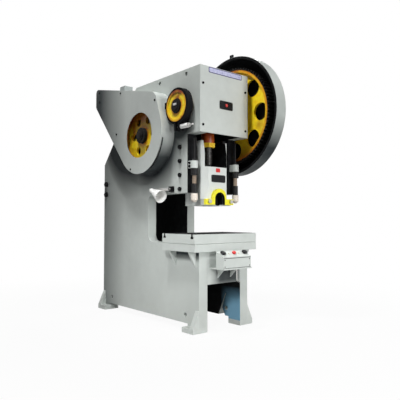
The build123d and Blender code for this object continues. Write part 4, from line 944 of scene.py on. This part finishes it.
gasket = plate(wide=0.338, high=0.005, thick=0.0012, power=30.0, bevel=0.0003)
gaskets = [facing_front(gasket, (0.0, BOX_FRONT, z)) for z in (BOX_LID, BOX_SEAM)]
piece("box_gaskets", gaskets, rubber, "frame")
box_places = [(x, BOX_FRONT, z) for x in BOX_SCREWS_X for z in BOX_SCREWS_Z]
box_heads = screws(box_places, FRONT, radius=0.0045, height=0.003)
piece("box_screws", box_heads, iron, "frame")
cowl_middle = (COWL_END, MOTOR_Y, MOTOR_Z)
cowl_radii = np.linspace(COWL_INNER, COWL_REACH, COWL_RINGS)
grille = [aimed(hoop(radius, thick=0.0025), cowl_middle, RIGHT) for radius in cowl_radii]
for angle in np.radians(np.arange(0, 360, SPOKE_STEP)):
    tip = (COWL_END, MOTOR_Y + COWL_REACH * math.cos(angle), MOTOR_Z + COWL_REACH * math.sin(angle))
    grille.append(bead(cowl_middle, tip, radius=0.0022))
piece("cowl_grille", grille, iron, "frame")
lid_places = [(x, MOTOR_Y + sign * LID_REACH, LID_TOP) for x in LID_SCREWS_X for sign in (-1, 1)]
lid_heads = screws(lid_places, UP, radius=0.006, height=0.004)
piece("terminal_screws", lid_heads, iron, "frame")
weld = surface("painted_weld", (0.44, 0.47, 0.45), (0.58, 0.61, 0.58), rough=(0.4, 0.55), grain=120.0)
welds = []
for wall in (-WELD_X, WELD_X):
    welds += [bead((wall, near, WELD_Z), (wall, far, WELD_Z), radius=0.007) for near, far in WELD_RUNS]
piece("table_welds", welds, weld, "frame", smooth=80.0)

# %% [markdown]
# ## Floor and background
# The press stands on a pale floor before a white background. The camera and the reflections see
# white wherever there is no press, by the light path, but this white lights the machine only dimly,
# so that the lamps can shape it. Near the press a small part of the floor's look is left to the
# lamps, which keeps a faint shadow.

# %% Floor and background
FLOOR_HALF, FLOOR_GREY = 9.0, (0.60, 0.60, 0.60, 1.0)
FLOOR_FADE = (1.4, 3.8, 0.94, 1.0)  # near and far distance, and the share of white at each
WHITE = (1.0, 1.0, 1.0, 1.0)
WORLD_LIGHT = 0.03


def seen_rays(tree):
    """1 on rays that come from the camera, straight, by reflection or through glass."""
    paths = tree.nodes.new("ShaderNodeLightPath")
    seen = paths.outputs["Is Camera Ray"]
    for name in ("Is Glossy Ray", "Is Transmission Ray"):
        seen = add_node(tree, "ShaderNodeMath", seen, paths.outputs[name], operation="MAXIMUM").outputs[0]
    return seen


def studio_floor():
    """A wide flat floor that looks white and keeps a faint shadow."""
    mesh = bpy.data.meshes.new("floor")
    corners = [(-FLOOR_HALF, -FLOOR_HALF, 0), (FLOOR_HALF, -FLOOR_HALF, 0),
               (FLOOR_HALF, FLOOR_HALF, 0), (-FLOOR_HALF, FLOOR_HALF, 0)]
    mesh.from_pydata(corners, [], [(0, 1, 2, 3)])
    floor = bpy.data.objects.new("floor", mesh)
    bpy.context.scene.collection.objects.link(floor)
    material = bpy.data.materials.new("studio_white")
    material.use_nodes = True
    tree = material.node_tree
    tree.nodes.clear()
    place = tree.nodes.new("ShaderNodeTexCoord").outputs["Object"]
    away = add_node(tree, "ShaderNodeVectorMath", place, operation="LENGTH").outputs["Value"]
    fade = add_node(tree, "ShaderNodeMapRange", away, *FLOOR_FADE).outputs[0]
    share = add_node(tree, "ShaderNodeMath", seen_rays(tree), fade, operation="MULTIPLY").outputs[0]
    matt = add_node(tree, "ShaderNodeBsdfDiffuse", FLOOR_GREY).outputs[0]
    white = add_node(tree, "ShaderNodeEmission", WHITE, 1.0).outputs[0]
    mixed = add_node(tree, "ShaderNodeMixShader", share, matt, white).outputs[0]
    add_node(tree, "ShaderNodeOutputMaterial", mixed)
    mesh.materials.append(material)


def white_world():
    """White for the camera and for reflections, and a dim even light for everything else."""
    world = bpy.data.worlds.new("studio")
    bpy.context.scene.world = world
    world.use_nodes = True
    tree = world.node_tree
    background = tree.nodes["Background"]
    background.inputs["Color"].default_value = WHITE
    level = add_node(tree, "ShaderNodeMapRange", seen_rays(tree), 0.0, 1.0, WORLD_LIGHT, 1.0).outputs[0]
    tree.links.new(level, background.inputs["Strength"])


studio_floor()
white_world()
print("floor", 2.0 * FLOOR_HALF, "m wide")

# %% [markdown]
# ## Lamps and camera
# A large soft lamp at the front, with a weaker one above it, lights the cover and the legs. A small
# one high on the left throws the guard's shadow down the wall, and two spots fade out across the
# wall towards the rear. A lamp behind on the right keeps the far sides readable. The camera stands
# low on the left, where a fit to the picture puts it.

# %% Lamps and camera
CAMERA_PLACE = (-3.0461, -4.0823, 1.0108)
CAMERA_TILT, CAMERA_TURN = 92.26, -40.4
SENSOR, LENS = 36.0, 43.0


def soft_lamp(name, place, target, size, watts, cone=None):
    """A square area lamp aimed at a point or, with a cone in degrees, a round spot that fades to its edge."""
    data = bpy.data.lights.new(name, "SPOT" if cone else "AREA")
    data.energy = watts
    if cone:
        data.spot_size = math.radians(cone)
        data.spot_blend = 1.0
        data.shadow_soft_size = size / 2.0
    else:
        data.size = size
    lamp = bpy.data.objects.new(name, data)
    bpy.context.scene.collection.objects.link(lamp)
    lamp.location = place
    aim = np.asarray(target, dtype=float) - np.asarray(place, dtype=float)
    flat = math.hypot(aim[X], aim[Y])
    lamp.rotation_euler = (math.atan2(flat, -aim[Z]), 0.0, math.atan2(aim[Y], aim[X]) - math.pi / 2.0)
    print(name, watts, "W")


soft_lamp("front_lamp", place=(0.8, -8.5, 2.0), target=(0.0, -0.8, 1.4), size=3.0, watts=300.0)
soft_lamp("high_lamp", place=(1.0, -4.5, 4.2), target=(0.0, -0.8, 1.9), size=1.5, watts=62.0)
soft_lamp("rear_lamp", place=(5.0, 3.6, 4.5), target=(0.0, 0.0, 1.4), size=3.0, watts=350.0)
soft_lamp("top_lamp", place=(-1.7, -0.9, 5.6), target=(-0.3, -0.6, 1.5), size=0.5, watts=175.0)
soft_lamp("side_spot", place=(-3.4, -2.8, 3.4), target=(-0.3, -0.5, 0.55), size=0.8, watts=525.0, cone=34.0)
soft_lamp("low_spot", place=(-4.2, -2.4, 1.0), target=(-0.3, -0.45, 0.42), size=0.8, watts=130.0, cone=28.0)
camera_data = bpy.data.cameras.new("camera")
camera_data.sensor_width = SENSOR
camera_data.lens = LENS
camera = bpy.data.objects.new("camera", camera_data)
bpy.context.scene.collection.objects.link(camera)
camera.location = CAMERA_PLACE
camera.rotation_euler = (math.radians(CAMERA_TILT), 0.0, math.radians(CAMERA_TURN))
bpy.context.scene.camera = camera
bpy.context.scene.view_settings.view_transform = "Standard"
print("camera at", CAMERA_PLACE)
